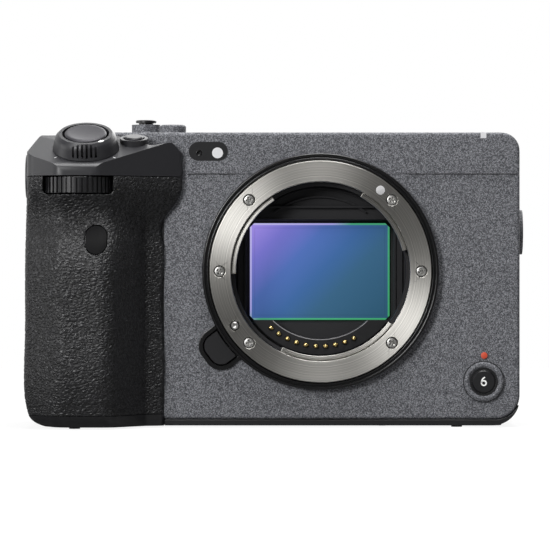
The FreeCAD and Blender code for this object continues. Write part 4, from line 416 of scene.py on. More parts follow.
NODE_FINISHES = {
    "paint": (
        "front_cover", "top_cover", "rear_cover", "card_door", "audio_door", "video_door", "top_button",
    ),
    "leather": ("grip_rubber",),
    "rubber": ("thumb_rest", "base_feet"),
    "plastic": (
        "bottom_plate", "grip_core", "contact_block", "lens_release_button", "record_button",
        "front_dial", "rear_dial", "joystick", "joystick_gimbal", "shoe_cover", "monitor_hinge",
        "monitor_frame", "control_wheel", "centre_button", "menu_button", "play_button",
        "power_switch", "terminal_block", "battery", "battery_door", "fan_housing", "fan_rotor",
        "focus_window",
    ),
    "satin": ("grip_hood", "zoom_lever", "deck_button", "side_boss"),
    "gloss": ("mount_trim_ring",),
    "steel": ("mount_ring", "lens_lock_pin"),
    "metal": ("mount_screws", "dial_axles", "accessory_shoe", "thread_inserts"),
    "gold": ("contact_pins",),
    "cavity": (
        "light_baffle", "shutter_frame", "upper_shutter_blade", "lower_shutter_blade", "image_sensor",
    ),
    "filter": ("sensor_glass",),
    "aluminium": ("sensor_stage", "stabiliser_yoke", "card_cage"),
    "lamp": ("focus_lamp", "tally_lamp"),
    "screen": ("monitor_glass",),
    "board": ("main_board",),
    "button": ("shutter_button",),
    "smoked": ("remote_window",),
}

# Nodes with machined or moulded edges: the width of the small round on each, in millimetres
EDGE_ROUNDS = {
    0.5: ("grip_hood",),
    0.2: ("mount_ring",),
    0.18: (
        "front_cover", "top_cover", "rear_cover", "bottom_plate", "monitor_frame", "card_door",
        "audio_door", "video_door", "battery_door", "mount_trim_ring", "side_boss", "accessory_shoe",
    ),
    0.1: (
        "zoom_lever", "front_dial", "rear_dial", "shoe_cover", "control_wheel", "power_switch",
        "record_button", "menu_button", "play_button", "centre_button", "top_button",
        "contact_block", "light_baffle", "thread_inserts", "monitor_glass", "monitor_hinge",
        "focus_window",
    ),
}


def round_edges(node, width):
    """Rounds the sharp edges of a node and shades its other faces smooth."""
    data = node.data
    normals = data.attributes.get("custom_normal")
    if normals:
        data.attributes.remove(normals)
    data.shade_smooth()
    weld = node.modifiers.new("weld", "WELD")
    weld.merge_threshold = 1e-6
    soft = node.modifiers.new("edge_round", "BEVEL")
    soft.width = width * MM
    soft.segments = 2
    soft.limit_method = "ANGLE"
    soft.angle_limit = math.radians(32)
    soft.harden_normals = True
    soft.use_clamp_overlap = True


class CAMERA_OT_finishes(bpy.types.Operator):
    """Makes the finishes and gives one to each piece of the frame"""

    bl_idname = "camera_looks.finishes"
    bl_label = "Finishes"

    def execute(self, context):
        finishes.update(make_finishes(context.scene.camera_looks))
        for finish, names in NODE_FINISHES.items():
            for name in names:
                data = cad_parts[name].data
                data.materials.clear()
                data.materials.append(finishes[finish])
        for width, names in EDGE_ROUNDS.items():
            for name in names:
                round_edges(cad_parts[name], width)
        return {"FINISHED"}


# Stage

PIXELS_PER_MM = 3.90
PHOTO_PIXELS = 550
VIEW_DISTANCE = 985.0
VIEW_X = -11.67
VIEW_Z = 38.7
SENSOR_WIDTH = 36.0
STUDIO_LEVEL = 0.08
FLOOR_RADIUS = 0.6
FLOOR_COLOUR = (0.12, 0.12, 0.12)
FLOOR_WHITE = 0.88  # light that makes the grey floor white to the camera
SWEEP_IN_WORLD = (0.1, 0.5)  # how far towards +Y a mirrored ray leaves when it meets the white sweep
SWEEP_ON_FLOOR = (0.05, 0.2)  # metres along y over which the floor turns white in mirrors

# Name, place in metres, width in metres and power in watts
LAMPS = (
    ("key_left", (-0.62, -0.95, 0.36), 0.3, 7.2),
    ("upper_left", (-0.5, -0.78, 0.62), 0.3, 3.2),
    ("fill_right", (0.7, -0.88, -0.27), 0.3, 0.9),
    ("side_left", (-1.0, -0.1, 0.15), 0.4, 2),
    ("overhead", (0.05, -0.16, 0.9), 0.5, 10),
    ("rear_fill", (0.3, 0.9, 0.5), 0.8, 8),
    ("below", (0.1, -0.1, -0.9), 0.5, 3),
)


def make_camera():
    """A long lens whose frame spans the photograph's width at the flange."""
    data = bpy.data.cameras.new("front_view")
    data.sensor_width = SENSOR_WIDTH
    data.lens = SENSOR_WIDTH * VIEW_DISTANCE / (PHOTO_PIXELS / PIXELS_PER_MM)
    data.clip_start = 0.05
    camera = bpy.data.objects.new("front_view", data)
    camera.location = (VIEW_X * MM, (FLANGE_Y - VIEW_DISTANCE) * MM, VIEW_Z * MM)
    camera.rotation_euler = (math.radians(90), 0, 0)
    bpy.context.scene.collection.objects.link(camera)
    bpy.context.scene.camera = camera


def soft_lamp(name, place, across, power):
    """A square soft box that faces the camera body."""
    data = bpy.data.lights.new(name, "AREA")
    data.shape = "SQUARE"
    data.size = across
    data.energy = power
    lamp = bpy.data.objects.new(name, data)
    lamp.location = place
    aim = Vector((LENS_X * MM, FRONT_Y * MM, LENS_Z * MM)) - Vector(place)
    lamp.rotation_euler = aim.to_track_quat("-Z", "Y").to_euler()
    bpy.context.scene.collection.objects.link(lamp)


def background_ray(tree, place, first, last):
    """1 for rays that should meet the white background: from the camera or through clear glass.

    The white sweep stands behind the camera body, so mirrored rays meet it as y passes from
    first to last, read at a place of the texture coordinates.
    """
    path = add(tree, "LightPath").outputs
    seen = {0: path["Is Camera Ray"], 1: path["Is Transmission Ray"]}
    straight_on = add(tree, "Math", {"operation": "MAXIMUM"}, seen)
    depth = add(tree, "SeparateXYZ", (), {0: add(tree, "TexCoord").outputs[place]}).outputs[1]
    behind = add(tree, "MapRange", {"From Min": first, "From Max": last}, {"Value": depth})
    mirrored = add(tree, "Math", {"operation": "MULTIPLY"}, {0: behind, 1: path["Is Glossy Ray"]})
    return add(tree, "Math", {"operation": "MAXIMUM"}, {0: straight_on, 1: mirrored})


def make_world(level):
    """Even light at a level, and a white background."""
    world = bpy.data.worlds.new("studio")
    world.use_nodes = True
    tree = world.node_tree
    background = tree.nodes["Background"]
    background.inputs["Color"].default_value = (1, 1, 1, 1)
    seen_white = background_ray(tree, "Generated", *SWEEP_IN_WORLD)
    strength = add(tree, "MapRange", {"To Min": level, "To Max": 1.0}, {"Value": seen_white})
    join(tree, background, {"Strength": strength})
    bpy.context.scene.world = world


def make_floor():
    """A round pale floor under the feet that keeps the shadow and otherwise renders white.

    It is clear from below and to the light of the lamp under it, so that the base can be looked at.
    """
    profile = [(radius, 0) for radius in np.linspace(0, FLOOR_RADIUS / MM, 8)]
    floor = put_mesh("floor", [turned(above(0, 0, mm_box("base_feet")[0][2]), profile, 96)])
    if floor.data.polygons[0].normal.z < 0:
        floor.data.flip_normals()
    material, tree, shader = new_finish("pale_floor", FLOOR_COLOUR, {
        "Roughness": 1.0, "Specular IOR Level": 0.0, "Emission Color": (1, 1, 1, 1),
    })
    seen_white = background_ray(tree, "Object", *SWEEP_ON_FLOOR)
    strength = add(tree, "Math", {"operation": "MULTIPLY", 1: FLOOR_WHITE}, {0: seen_white})
    join(tree, shader, {"Emission Strength": strength})
    back = add(tree, "NewGeometry").outputs["Backfacing"]
    shadow = add(tree, "LightPath").outputs["Is Shadow Ray"]
    through = add(tree, "Math", {"operation": "MAXIMUM"}, {0: back, 1: shadow})
    clear = add(tree, "BsdfTransparent")
    seen = add(tree, "MixShader", (), {0: through, 1: shader, 2: clear})
    join(tree, tree.nodes["Material Output"], {"Surface": seen})
    floor.data.materials.append(material)


class CAMERA_OT_stage(bpy.types.Operator):
    """Makes the floor, the soft lamps, the white surroundings and the view"""

    bl_idname = "camera_looks.stage"
    bl_label = "Stage"

    def execute(self, context):
        context.scene.view_settings.view_transform = "Standard"
        make_camera()
        make_world(STUDIO_LEVEL)
        make_floor()
        for lamp in LAMPS:
            soft_lamp(*lamp)
        return {"FINISHED"}


# Meshes


def put_mesh(name, sheets, sharp=35):
    """One mesh object from grids of points in metres.

    Each sheet is (points as rows x columns x 3, whether the rows close, whether the columns close).
    Neighbours in a grid become quads, points that meet become one, and faces turn outwards.
    """
    points, faces, start = [], [], 0
    for grid, wrap_rows, wrap_columns in sheets:
        rows, columns = grid.shape[:2]
        row = np.arange(rows if wrap_rows else rows - 1)
        column = np.arange(columns if wrap_columns else columns - 1)
        row, column = np.meshgrid(row, column, indexing="ij")
        below, beside = (row + 1) % rows, (column + 1) % columns
        corners = (
            row * columns + column,
            below * columns + column,
            below * columns + beside,
            row * columns + beside,
        )
        faces.append(start + np.stack(corners, -1).reshape(-1, 4))
        points.append(grid.reshape(-1, 3))
        start += rows * columns
    data = bpy.data.meshes.new(name)
    data.from_pydata(np.concatenate(points), [], np.concatenate(faces).tolist())
    work = bmesh.new()
    work.from_mesh(data)
    bmesh.ops.remove_doubles(work, verts=work.verts, dist=1e-7)
    bmesh.ops.dissolve_degenerate(work, edges=work.edges, dist=1e-8)
    bmesh.ops.recalc_face_normals(work, faces=work.faces)
    work.to_mesh(data)
    work.free()
    data.shade_smooth()
    data.set_sharp_from_angle(angle=math.radians(sharp))
    made = bpy.data.objects.new(name, data)
    bpy.context.scene.collection.objects.link(made)
    return made


def piece(name, sheets, finish, body="body", replaces=(), sharp=35):
    """A named piece with a finish, which rides on a body of the frame and may stand for nodes."""
    made = put_mesh(name, sheets, sharp)
    made.data.materials.append(finishes[finish])
    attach(made, body)
    if replaces:
        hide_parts(*replaces)
    return made


class Facing:
    """A flat drawing board: its origin in millimetres, and its right, up and outward ways."""

    def __init__(self, origin, right, up):
        self.origin = np.array(origin, float)
        self.right = np.array(right, float)
        self.up = np.array(up, float)
        self.out = np.cross(self.right, self.up)

    def points(self, across, up, out):
        """Points in metres from arrays of millimetres along the three ways."""
        across, up, out = (a[..., None] for a in np.broadcast_arrays(across, up, out))
        return (self.origin + across * self.right + up * self.up + out * self.out) * MM

    def at(self, across, up, out=0.0):
        """The same board with its origin moved along its three ways."""
        return Facing(self.points(across, up, out) / MM, self.right, self.up)


def front(x, z, y):
    return Facing((x, y, z), (1, 0, 0), (0, 0, 1))


def rear(x, z, y):
    return Facing((x, y, z), (-1, 0, 0), (0, 0, 1))


def above(x, y, z):
    return Facing((x, y, z), (1, 0, 0), (0, 1, 0))


def below(x, y, z):
    return Facing((x, y, z), (1, 0, 0), (0, -1, 0))


def right_side(x, y, z):
    return Facing((x, y, z), (0, 1, 0), (0, 0, 1))


def left_side(x, y, z):
    return Facing((x, y, z), (0, -1, 0), (0, 0, 1))


def tilted(x, y, z, degrees):
    """A board that leans forward from level by an angle."""
    angle = math.radians(degrees)
    return Facing((x, y, z), (1, 0, 0), (0, math.cos(angle), math.sin(angle)))


def turned(board, profile, turns=64):
    """A profile of (radius, height) carried round the board's outward way: x = r cos t, y = r sin t."""
    profile = np.array(profile, float)
    angle = np.linspace(0, 2 * math.pi, turns, endpoint=False)
    radius, height = profile[:, 0][:, None], profile[:, 1][:, None]
    grid = board.points(radius * np.cos(angle), radius * np.sin(angle), height + 0 * angle)
    return grid, False, True


def ring(board, profile, turns):
    """A closed profile carried round the board's outward way."""
    return turned(board, profile, turns)[0], True, True


def rounded(half_x, half_y, corner, inset=0.0, steps=8):
    """Outline of a rectangle with round corners, or with cut ones where steps is 2.

    Each point is its corner's centre + (corner - inset) (cos t, sin t), with t over a quarter turn.
    """
    quarter = np.repeat(np.arange(4), steps)
    angle = (quarter + np.tile(np.linspace(0, 1, steps), 4)) * math.pi / 2
    radius = max(corner - inset, 0.02)
    side_x = np.where(np.isin(quarter, (0, 3)), 1, -1)
    side_y = np.where(quarter < 2, 1, -1)
    across = side_x * (half_x - inset - radius) + radius * np.cos(angle)
    up = side_y * (half_y - inset - radius) + radius * np.sin(angle)
    return across, up


def slab(board, half_x, half_y, corner, profile, steps=8):
    """A rounded rectangle carried up a profile of (inset, height), its ends closed at the middle."""
    rows = [
        board.points(*rounded(half_x, half_y, corner, inset, steps), height) for inset, height in profile
    ]
    middle = np.zeros(4 * steps)
    first, last = (board.points(middle, middle, profile[end][1]) for end in (0, -1))
    return np.stack([first, *rows, last]), False, True


def bar(board, half_x, half_y, rise, edge=0.08):
    """A low bar with bevelled edges."""
    return slab(board, half_x, half_y, edge * 2, [(0, -0.1), (0, rise - edge), (edge, rise)], 4)


def straight(start, end, count=17):
    """Points of a straight line, p = a (1 - s) + b s, closer together near its ends."""
    share = (1 - np.cos(np.linspace(0, math.pi, count)))[:, None] / 2
    return np.array(start) * (1 - share) + np.array(end) * share


def arc(radius, first, last, centre=(0.0, 0.0), count=65):
    """Points of an arc, centre + (a cos t, b sin t), between two angles in degrees."""
    share = (1 - np.cos(np.linspace(0, math.pi, count))) / 2
    angle = np.radians(first + (last - first) * share)
    reach = np.broadcast_to(radius, 2)
    return np.stack([centre[0] + reach[0] * np.cos(angle), centre[1] + reach[1] * np.sin(angle)], -1)


def stroke(board, path, width, rise, low=-0.05):
    """A raised line: path + n s w / 2, with n the path's normal and s from -1 to 1.

    At a distance d from an end the width is w sqrt(1 - (1 - 2 d / w)^2), which makes the end round.
    """
    step = np.gradient(path, axis=0)
    step /= np.linalg.norm(step, axis=1)[:, None]
    normal = np.stack([-step[:, 1], step[:, 0]], -1)
    along = np.concatenate([[0], np.cumsum(np.linalg.norm(np.diff(path, axis=0), axis=1))])
    nearer = np.clip(np.minimum(along, along[-1] - along) / (width / 2), 0, 1)
    half = (width / 2 * np.sqrt(1 - (1 - nearer) ** 2))[:, None]
    side = np.array([-1, -1, -0.75, 0.75, 1, 1])
    height = np.array([low, rise * 0.6, rise, rise, rise * 0.6, low])
    across = path[:, :1] + normal[:, :1] * half * side
    up = path[:, 1:] + normal[:, 1:] * half * side
    return board.points(across, up, height), False, True


def thread(board, radius, depth, pitch, length, turns=48):
    """A helical inner thread in a sleeve: r = R - depth (1 - |2 f - 1|).

    f is the fraction of z / pitch - t / 2 pi. The thread fades out at both ends, and the sleeve's
    outer wall closes the ring of rows.
    """
    top, play = -0.3, 0.03
    angle = np.linspace(0, 2 * math.pi, turns, endpoint=False)
    height = np.linspace(-length, top, round(length / pitch * 8))[:, None]
    share = (height / pitch - angle / (2 * math.pi)) % 1
    fade = smooth_step(0, pitch / 2, top - height) * smooth_step(0, pitch / 2, height + length)
    inner = radius - play - depth * (1 - np.abs(2 * share - 1)) * fade
    wall = np.full((2, turns), radius)
    ends = np.repeat([[top], [-length]], turns, axis=1)
    reach = np.concatenate([inner, wall])
    heights = np.concatenate([np.broadcast_to(height, inner.shape), ends])
    return board.points(reach * np.cos(angle), reach * np.sin(angle), heights), True, True


def smooth_step(low, high, value):
    """0 below low, 1 above high, and a soft slope between."""
    share = np.clip((value - low) / (high - low), 0, 1)
    return share * share * (3 - 2 * share)


def lens_point(angle, radius):
    """Centre of something on the mount, at an angle in degrees and a radius from the lens axis."""
    turn = math.radians(angle)
    return LENS_X + radius * math.cos(turn), LENS_Z + radius * math.sin(turn)


PRINT = 0.03  # height of a printed mark

# Grip

SKIN_VOXEL = 0.37
GRAIN_DEPTH = 0.13
GRAIN_STRETCH = (0.72, 1.0, 1.15)
# Numbers that turn a cell's number into a place that looks like chance
GRAIN_MIX = np.array([[127.1, 269.5, 113.5], [311.7, 183.3, 271.9], [74.7, 246.1, 124.6]])
GRAIN_SPREAD = 43758.5
GRIP_MIDDLE = (-55.0, -18.0)
SKIN_EDGE = (0.3, 1.2)  # from the skin's lower and upper edges, where the grain fades in


def pebbles(points, size):
    """Leather grain over points in millimetres: 0 in the creases and 1 on the pebbles.

    Space is cut into cells, each with one point at a place worked out from the cell's number. The
    height is the soft step of the distance to the second nearest of these less that to the nearest.
    """
    place = points * GRAIN_STRETCH / size
    cell = np.floor(place)
    nearest = np.full(len(points), 9.0)
    second = nearest.copy()
    for shift in np.ndindex(3, 3, 3):
        corner = cell + np.array(shift) - 1
        inside = (np.sin(corner @ GRAIN_MIX) * GRAIN_SPREAD) % 1
        distance = np.linalg.norm(place - corner - inside, axis=1)
        second = np.minimum(second, np.maximum(nearest, distance))
        nearest = np.minimum(nearest, distance)
    return smooth_step(0.02, 0.42, second - nearest)


def even_mesh(node, voxel):
    """The grip's skin: a copy of a node's mesh, merged and then remeshed in even squares."""
    data = node.data.copy()
    work = bmesh.new()
    work.from_mesh(data)
    bmesh.ops.remove_doubles(work, verts=work.verts, dist=1e-6)
    work.to_mesh(data)
    work.free()
    made = bpy.data.objects.new("grip_skin", data)
    bpy.context.scene.collection.objects.link(made)
    even = made.modifiers.new("even_mesh", "REMESH")
    even.mode = "VOXEL"
    even.voxel_size = voxel * MM
    graph = bpy.context.evaluated_depsgraph_get()
    made.data = bpy.data.meshes.new_from_object(made.evaluated_get(graph))
    made.modifiers.clear()
    return made


class CAMERA_OT_grip(bpy.types.Operator):
    """Makes the grip's rubber skin, with a leather grain moulded into its outer side"""

    bl_idname = "camera_looks.grip"
    bl_label = "Grip skin"

    def execute(self, context):
        made = even_mesh(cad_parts["grip_rubber"], SKIN_VOXEL)
        data = made.data
        points = np.empty(len(data.vertices) * 3)
        ways = np.empty_like(points)
        data.vertices.foreach_get("co", points)
        data.vertex_normals.foreach_get("vector", ways)
        points, ways = points.reshape(-1, 3) / MM, ways.reshape(-1, 3)
        low, high = mm_box("grip_rubber")
        outward = points[:, :2] - GRIP_MIDDLE
        outward /= np.linalg.norm(outward, axis=1)[:, None]
        outer = smooth_step(0.0, 0.3, (ways[:, :2] * outward).sum(1))
        foot, shoulder = points[:, 2] - low[2], high[2] - points[:, 2]
        edge = smooth_step(*SKIN_EDGE, foot) * smooth_step(*SKIN_EDGE, shoulder)
        grain = pebbles(points, context.scene.camera_looks.sizes.grain / MM)
        depth = GRAIN_DEPTH * (1 - grain) * outer * edge
        points -= ways * depth[:, None]
        data.vertices.foreach_set("co", (points * MM).ravel())
        data.attributes.new(GRAIN, "FLOAT", "POINT").data.foreach_set("value", grain)
        data.update()
        data.shade_smooth()
        data.materials.clear()
        data.materials.append(finishes["leather"])
        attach(made, "body")
        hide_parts("grip_rubber")
        return {"FINISHED"}


# Mount

SCREW_ANGLES = (0, 45, 135, 180, 225, 315)
SCREW_CIRCLE = 25.9
SCREW_SINK = 0.22
SCREW_CROWN = 0.16
SCREW_RECESS = 0.55
INDEX_ANGLE = 53.6
PIN_DIMPLE = ((0, -0.3), (0.25, -0.26), (0.42, -0.1), (0.55, 0))
PIN_EDGE = 0.15
TRIM_BEADS = ((29.0, 0.32), (29.95, 0.42))  # radius and half width
BEAD_RISE = 0.35

# Shares of a screw head's radius over which its recess fades
CROSS_ARM = np.array([0.1, 0.2])
CROSS_END = np.array([0.5, 0.66])
CROSS_BOWL = np.array([0.0, 0.34])


def cross_head(board, radius, crown, depth, spin):
    """A screw head with a cross recess and a raised middle.

    The height over radius r is crown (1 - (r/R)^2), less the recess, whose depth fades where the
    distance to the nearer arm passes the arm's half width and where r nears the arm's end.
    """
    turns, rows = 64, 26
    angle = np.linspace(0, 2 * math.pi, turns, endpoint=False)
    share = np.linspace(0.0, 1.0, rows)[:, None]
    reach = share * radius
    across, up = reach * np.cos(angle), reach * np.sin(angle)
    turned_across = across * math.cos(spin) + up * math.sin(spin)
    turned_up = up * math.cos(spin) - across * math.sin(spin)
    nearer = np.minimum(np.abs(turned_across), np.abs(turned_up))
    arm = 1 - smooth_step(*CROSS_ARM * radius, nearer)
    inside = 1 - smooth_step(*CROSS_END * radius, reach + 0 * angle)
    bowl = 1 - smooth_step(*CROSS_BOWL * radius, reach + 0 * angle)
    recess = depth * np.maximum(arm * inside, bowl * 0.8)
    height = crown * (1 - share**2) - recess - 0.25 * smooth_step(0.9, 1.0, share)
    top = board.points(across, up, height)
    skirt = turned(board, [(radius, -0.25), (radius, -0.9)], turns)
    return [(top, False, True), skirt]


def dot(board, radius, height):
    """A thin printed disc with a soft edge."""
    return turned(board, [(0, height), (radius * 0.93, height), (radius, 0.0)], 40)


class CAMERA_OT_mount(bpy.types.Operator):
    """Makes the mount's screws and index dot, the lock pin's tip and the trim ring's beads"""

    bl_idname = "camera_looks.mount"
    bl_label = "Lens mount"

    def execute(self, context):
        sizes = context.scene.camera_looks.sizes
        sheets = []
        for count, angle in enumerate(SCREW_ANGLES):
            x, z = lens_point(angle, SCREW_CIRCLE)
            board = front(x, z, FLANGE_Y + SCREW_SINK)
            spin = 0.4 + 0.7 * count
            sheets += cross_head(board, sizes.screw_head / MM, SCREW_CROWN, SCREW_RECESS, spin)
        piece("mount_screw_heads", sheets, "screw", replaces=["mount_screws"])
        x, z = lens_point(INDEX_ANGLE, SCREW_CIRCLE)
        piece("index_dot", [dot(front(x, z, FLANGE_Y), sizes.index_dot / MM, PRINT)], "white")
        low, high = mm_box("lens_lock_pin")
        middle = (low + high) / 2
        radius, size = (high[0] - low[0]) / 2, high[1] - low[1]
        edge = [(radius - PIN_EDGE, 0), (radius, -PIN_EDGE), (radius, -size), (0, -size)]
        pin = turned(front(middle[0], middle[2], low[1]), [*PIN_DIMPLE, *edge], 40)
        piece("lock_pin_tip", [pin], "screw", "lock_pin", ["lens_lock_pin"])
        bend = np.linspace(0, math.pi, 9)
        beads = []
        for radius, half in TRIM_BEADS:
            profile = [(radius - half * math.cos(a), BEAD_RISE * math.sin(a) - 0.05) for a in bend]
            beads.append(ring(front(LENS_X, LENS_Z, TRIM_Y), [*profile, (radius, -0.2)], 192))
        piece("trim_beads", beads, "gloss")
        return {"FINISHED"}


# Well behind the throat

PLATE_Y = -19.9
WELL_ARCS = (((19.3, 52, 128), 0.5, 0.9), ((21.5, 52, 128), 0.35, 0.5))  # arc, width and rise
# Place from the lens axis, half sizes and rise: the shelf, the gate's upper edge, and two bars a side
WELL_BARS = (
    (0, 16.7, 14.2, 0.28, 1.2),
    (0, 13.65, 19.7, 0.2, 0.35),
    (-19.45, 0, 0.2, 13.3, 0.35),
    (-21.0, 0, 0.3, 9.0, 0.6),
    (19.45, 0, 0.2, 13.3, 0.35),
    (21.0, 0, 0.3, 9.0, 0.6),
)
CUT_CORNER = 1.1
GLASS_EDGE = 0.3


class CAMERA_OT_well(bpy.types.Operator):
    """Makes the sensor's coated glass and the ribs round it"""

    bl_idname = "camera_looks.well"
    bl_label = "Sensor and its well"

    def execute(self, context):
        low, high = mm_box("sensor_glass")
        half, deep = (high - low) / 2, high[1] - low[1]
        middle = (low + high) / 2
        profile = [(0, 0), (0, deep - GLASS_EDGE), (GLASS_EDGE, deep)]
        glass = slab(front(middle[0], middle[2], high[1]), half[0], half[2], CUT_CORNER, profile, 2)
        piece("sensor_window", [glass], "filter", "sensor", ["sensor_glass"], sharp=20)
        board = front(LENS_X, LENS_Z, PLATE_Y)
        sheets = [stroke(board, arc(*line), width, rise) for line, width, rise in WELL_ARCS]
        sheets += [bar(board.at(x, z), *size) for x, z, *size in WELL_BARS]
        piece("well_ribs", sheets, "cavity")
        return {"FINISHED"}


CONTACT_ANGLES = [228.9 + 7.53 * count for count in range(10)]
CONTACT_CIRCLE = 19.3
CONTACT_RADIUS = 0.6
BLOCK_EDGE = (17.6, 226, 314)  # radius and angles of the block's inner edge


class CAMERA_OT_contacts(bpy.types.Operator):
    """Makes the sprung gold contacts with their round tips, and a painted highlight along the inner edge
    of their block
    """

    bl_idname = "camera_looks.contacts"
    bl_label = "Contacts"

    def execute(self, context):
        low, high = mm_box("contact_pins")
        radius, tip = CONTACT_RADIUS, low[1]
        bend = np.linspace(0, math.pi / 2, 9)
        profile = [(radius * math.sin(a), radius * math.cos(a) - radius) for a in bend]
        profile += [(radius, tip - high[1]), (0, tip - high[1])]
        sheets = []
        for angle in CONTACT_ANGLES:
            x, z = lens_point(angle, CONTACT_CIRCLE)
            sheets.append(turned(front(x, z, tip), profile, 24))
        piece("contact_tips", sheets, "gold", "contact_pins", ["contact_pins"])
        # A grey line along the block's inner edge is a painted highlight
        board = front(LENS_X, LENS_Z, mm_box("contact_block")[0][1])
        piece("contact_block_edge_highlight", [stroke(board, arc(*BLOCK_EDGE), 0.2, 0.05)], "edge")
        return {"FINISHED"}


# Front and deck

RECORD_PLACE = (42.0, 11.3)
SIX_TAIL = ((1.08, 1.5), 97, 180, (0.47, -0.38), 17)
SIX_BOWL = (0.6, 180, 540, (0, -0.38), 49)
RECORD_WELL = ((3.12, -0.15), (3.12, 0.03), (3.3, 0.06), (3.62, 0.06), (3.75, -0.15))
RECORD_COLLAR = (
    (3.8, -0.1), (3.84, 0.16), (4.0, 0.32), (4.25, 0.4), (4.6, 0.38), (4.9, 0.24), (5.08, -0.1),
)
# A dark ring round the collar: painted shadow in its groove
RECORD_GROOVE_SHADE = ((5.1, -0.1), (5.1, 0.02), (5.32, 0.02), (5.32, -0.1))
DOT_PLACE = (42.1, 18.0)
SEAM_SHADE_STRIPS = ((-28.0, 6.0), (36.5, 14.5))  # middle and half length of the dark strips in the cover seam, which are painted shade
MICROPHONE_PLACE = (-31.2, 70.1)
MICROPHONE_RING = ((0.55, -0.05), (0.55, 0.06), (0.63, 0.12), (0.75, 0.1), (0.82, -0.05))
LEVER_PLACE = (-59.9, -33.9, 70.998)
LEVER_TOP = 4.2
LEVER_MARK = (6.45, -57, -43)
TICK_ANGLES = (-37.6, -142.4)
DECK_SLOPE = 25.7
BUTTON_TOP = 4.45
BUTTON_RADIUS = 5.35
DISH_RADIUS = 4.7
DISH_DEPTH = 0.3
BUTTON_RIM = ((4.9, BUTTON_TOP - 0.02), (5.1, BUTTON_TOP - 0.08), (BUTTON_RADIUS, BUTTON_TOP - 0.35))
BUTTON_STEM = ((BUTTON_RADIUS, 3.35), (1.5, 3.35), (1.5, -3.0), (0, -3.0))


class CAMERA_OT_front(bpy.types.Operator):
    """Makes the marks and rings of the front and the dished shutter button"""

    bl_idname = "camera_looks.front"
    bl_label = "Front and deck"

    def execute(self, context):
        button = front(*RECORD_PLACE, mm_box("record_button")[0][1])
        six = np.concatenate([arc(*SIX_TAIL), arc(*SIX_BOWL)[1:]])
        piece("record_digit", [stroke(button, six, 0.36, PRINT)], "marks", "record_button")
        board = front(*RECORD_PLACE, FRONT_Y)
        piece("record_well", [ring(board, RECORD_WELL, 64)], "plastic")
        piece("record_collar", [ring(board, RECORD_COLLAR, 96)], "paint", sharp=60)
        # Painted shade: a dark ring that stands in for the shadow in the groove round the collar
        piece("record_collar_groove_shade", [ring(board, RECORD_GROOVE_SHADE, 96)], "cavity")
        piece("record_dot", [dot(front(*DOT_PLACE, FRONT_Y), 0.85, PRINT)], "red")
        # Dark strips sunk in the seam between the covers are painted shade, standing in for the shade in
        # the gap
        seam = front(0, COVER_SEAM, FRONT_Y + 0.12)
        strips = [bar(seam.at(x, 0, -0.1), half, 0.09, 0.1, 0.02) for x, half in SEAM_SHADE_STRIPS]
        piece("cover_seam_shade_strip", strips, "cavity")
        window = front(*MICROPHONE_PLACE, mm_box("focus_window")[0][1])
        piece("microphone_ring", [ring(window, MICROPHONE_RING, 32)], "gloss")
        deck = tilted(*LEVER_PLACE, DECK_SLOPE)
        inside = np.linspace(0, DISH_RADIUS, 12)
        dish = [(r, BUTTON_TOP - DISH_DEPTH * (1 - (r / DISH_RADIUS) ** 2)) for r in inside]
        cap = turned(deck, [*dish, *BUTTON_RIM, *BUTTON_STEM], 96)
        piece("shutter_cap", [cap], "button", "shutter_button", ["shutter_button"])
        mark = stroke(deck.at(0, 0, LEVER_TOP), arc(*LEVER_MARK), 0.85, PRINT)
        piece("lever_mark", [mark], "marks", "zoom_lever")
        ticks = []
        for angle in TICK_ANGLES:
            way = np.array([math.cos(math.radians(angle)), math.sin(math.radians(angle))])
            ticks.append(stroke(deck, straight(way * 9.0, way * 9.8), 0.3, PRINT))
        piece("deck_ticks", ticks, "white")
        return {"FINISHED"}


# Threads, top and back

# Boards at the mouths of the mounting sockets
SOCKETS = (
    below(0, 0, 0),
    above(-21, 4, TOP_Z),
    above(36, -12, TOP_Z),
    above(36, 12, TOP_Z),
    right_side(52.4, -16.5, 49.8),
    left_side(-77.4, 2, 64.7),
)
THREAD_RADIUS = 3.17
THREAD_DEPTH = 0.55
THREAD_LENGTH = 5.4


class CAMERA_OT_threads(bpy.types.Operator):
    """Cuts the quarter inch threads of the mounting sockets"""

    bl_idname = "camera_looks.threads"
    bl_label = "Threads"

    def execute(self, context):
        pitch = context.scene.camera_looks.sizes.thread_pitch / MM
        sheets = [thread(board, THREAD_RADIUS, THREAD_DEPTH, pitch, THREAD_LENGTH) for board in SOCKETS]
        piece("socket_threads", sheets, "metal")
        return {"FINISHED"}


PLANE_MARK = (-30.5, -11.0)
SWITCH_RIDGES = (-2.1, -1.4, -0.7, 0.0, 0.7)
LINE = 0.25  # width of a fine printed line
WHEEL_PLACE = (-54, 26)
SIGN_CIRCLE = 8.3
MENU_PLACE = (-36.8, 56.0)
PLAY_PLACE = (-36.8, 10.0)
PLAY_CORNERS = ((-0.8, -1.1), (1.3, 0.0), (-0.8, 1.1), (-0.8, -1.1))
LATCH_PLACE = (-58.5, -20.5)
LATCH_RIDGES = (-2.4, -1.6, -0.8, 0.0, 0.8, 1.6, 2.4)
RIB_PITCH = 0.75
RIBBED_DOORS = (
    ("card_door", left_side, -1), ("audio_door", right_side, 1), ("video_door", right_side, 1),
)
PLATE_SCREWS = ((-34, -19), (45.5, -19), (-34, 17), (45.5, 13), (14, 17.5), (16, -21))


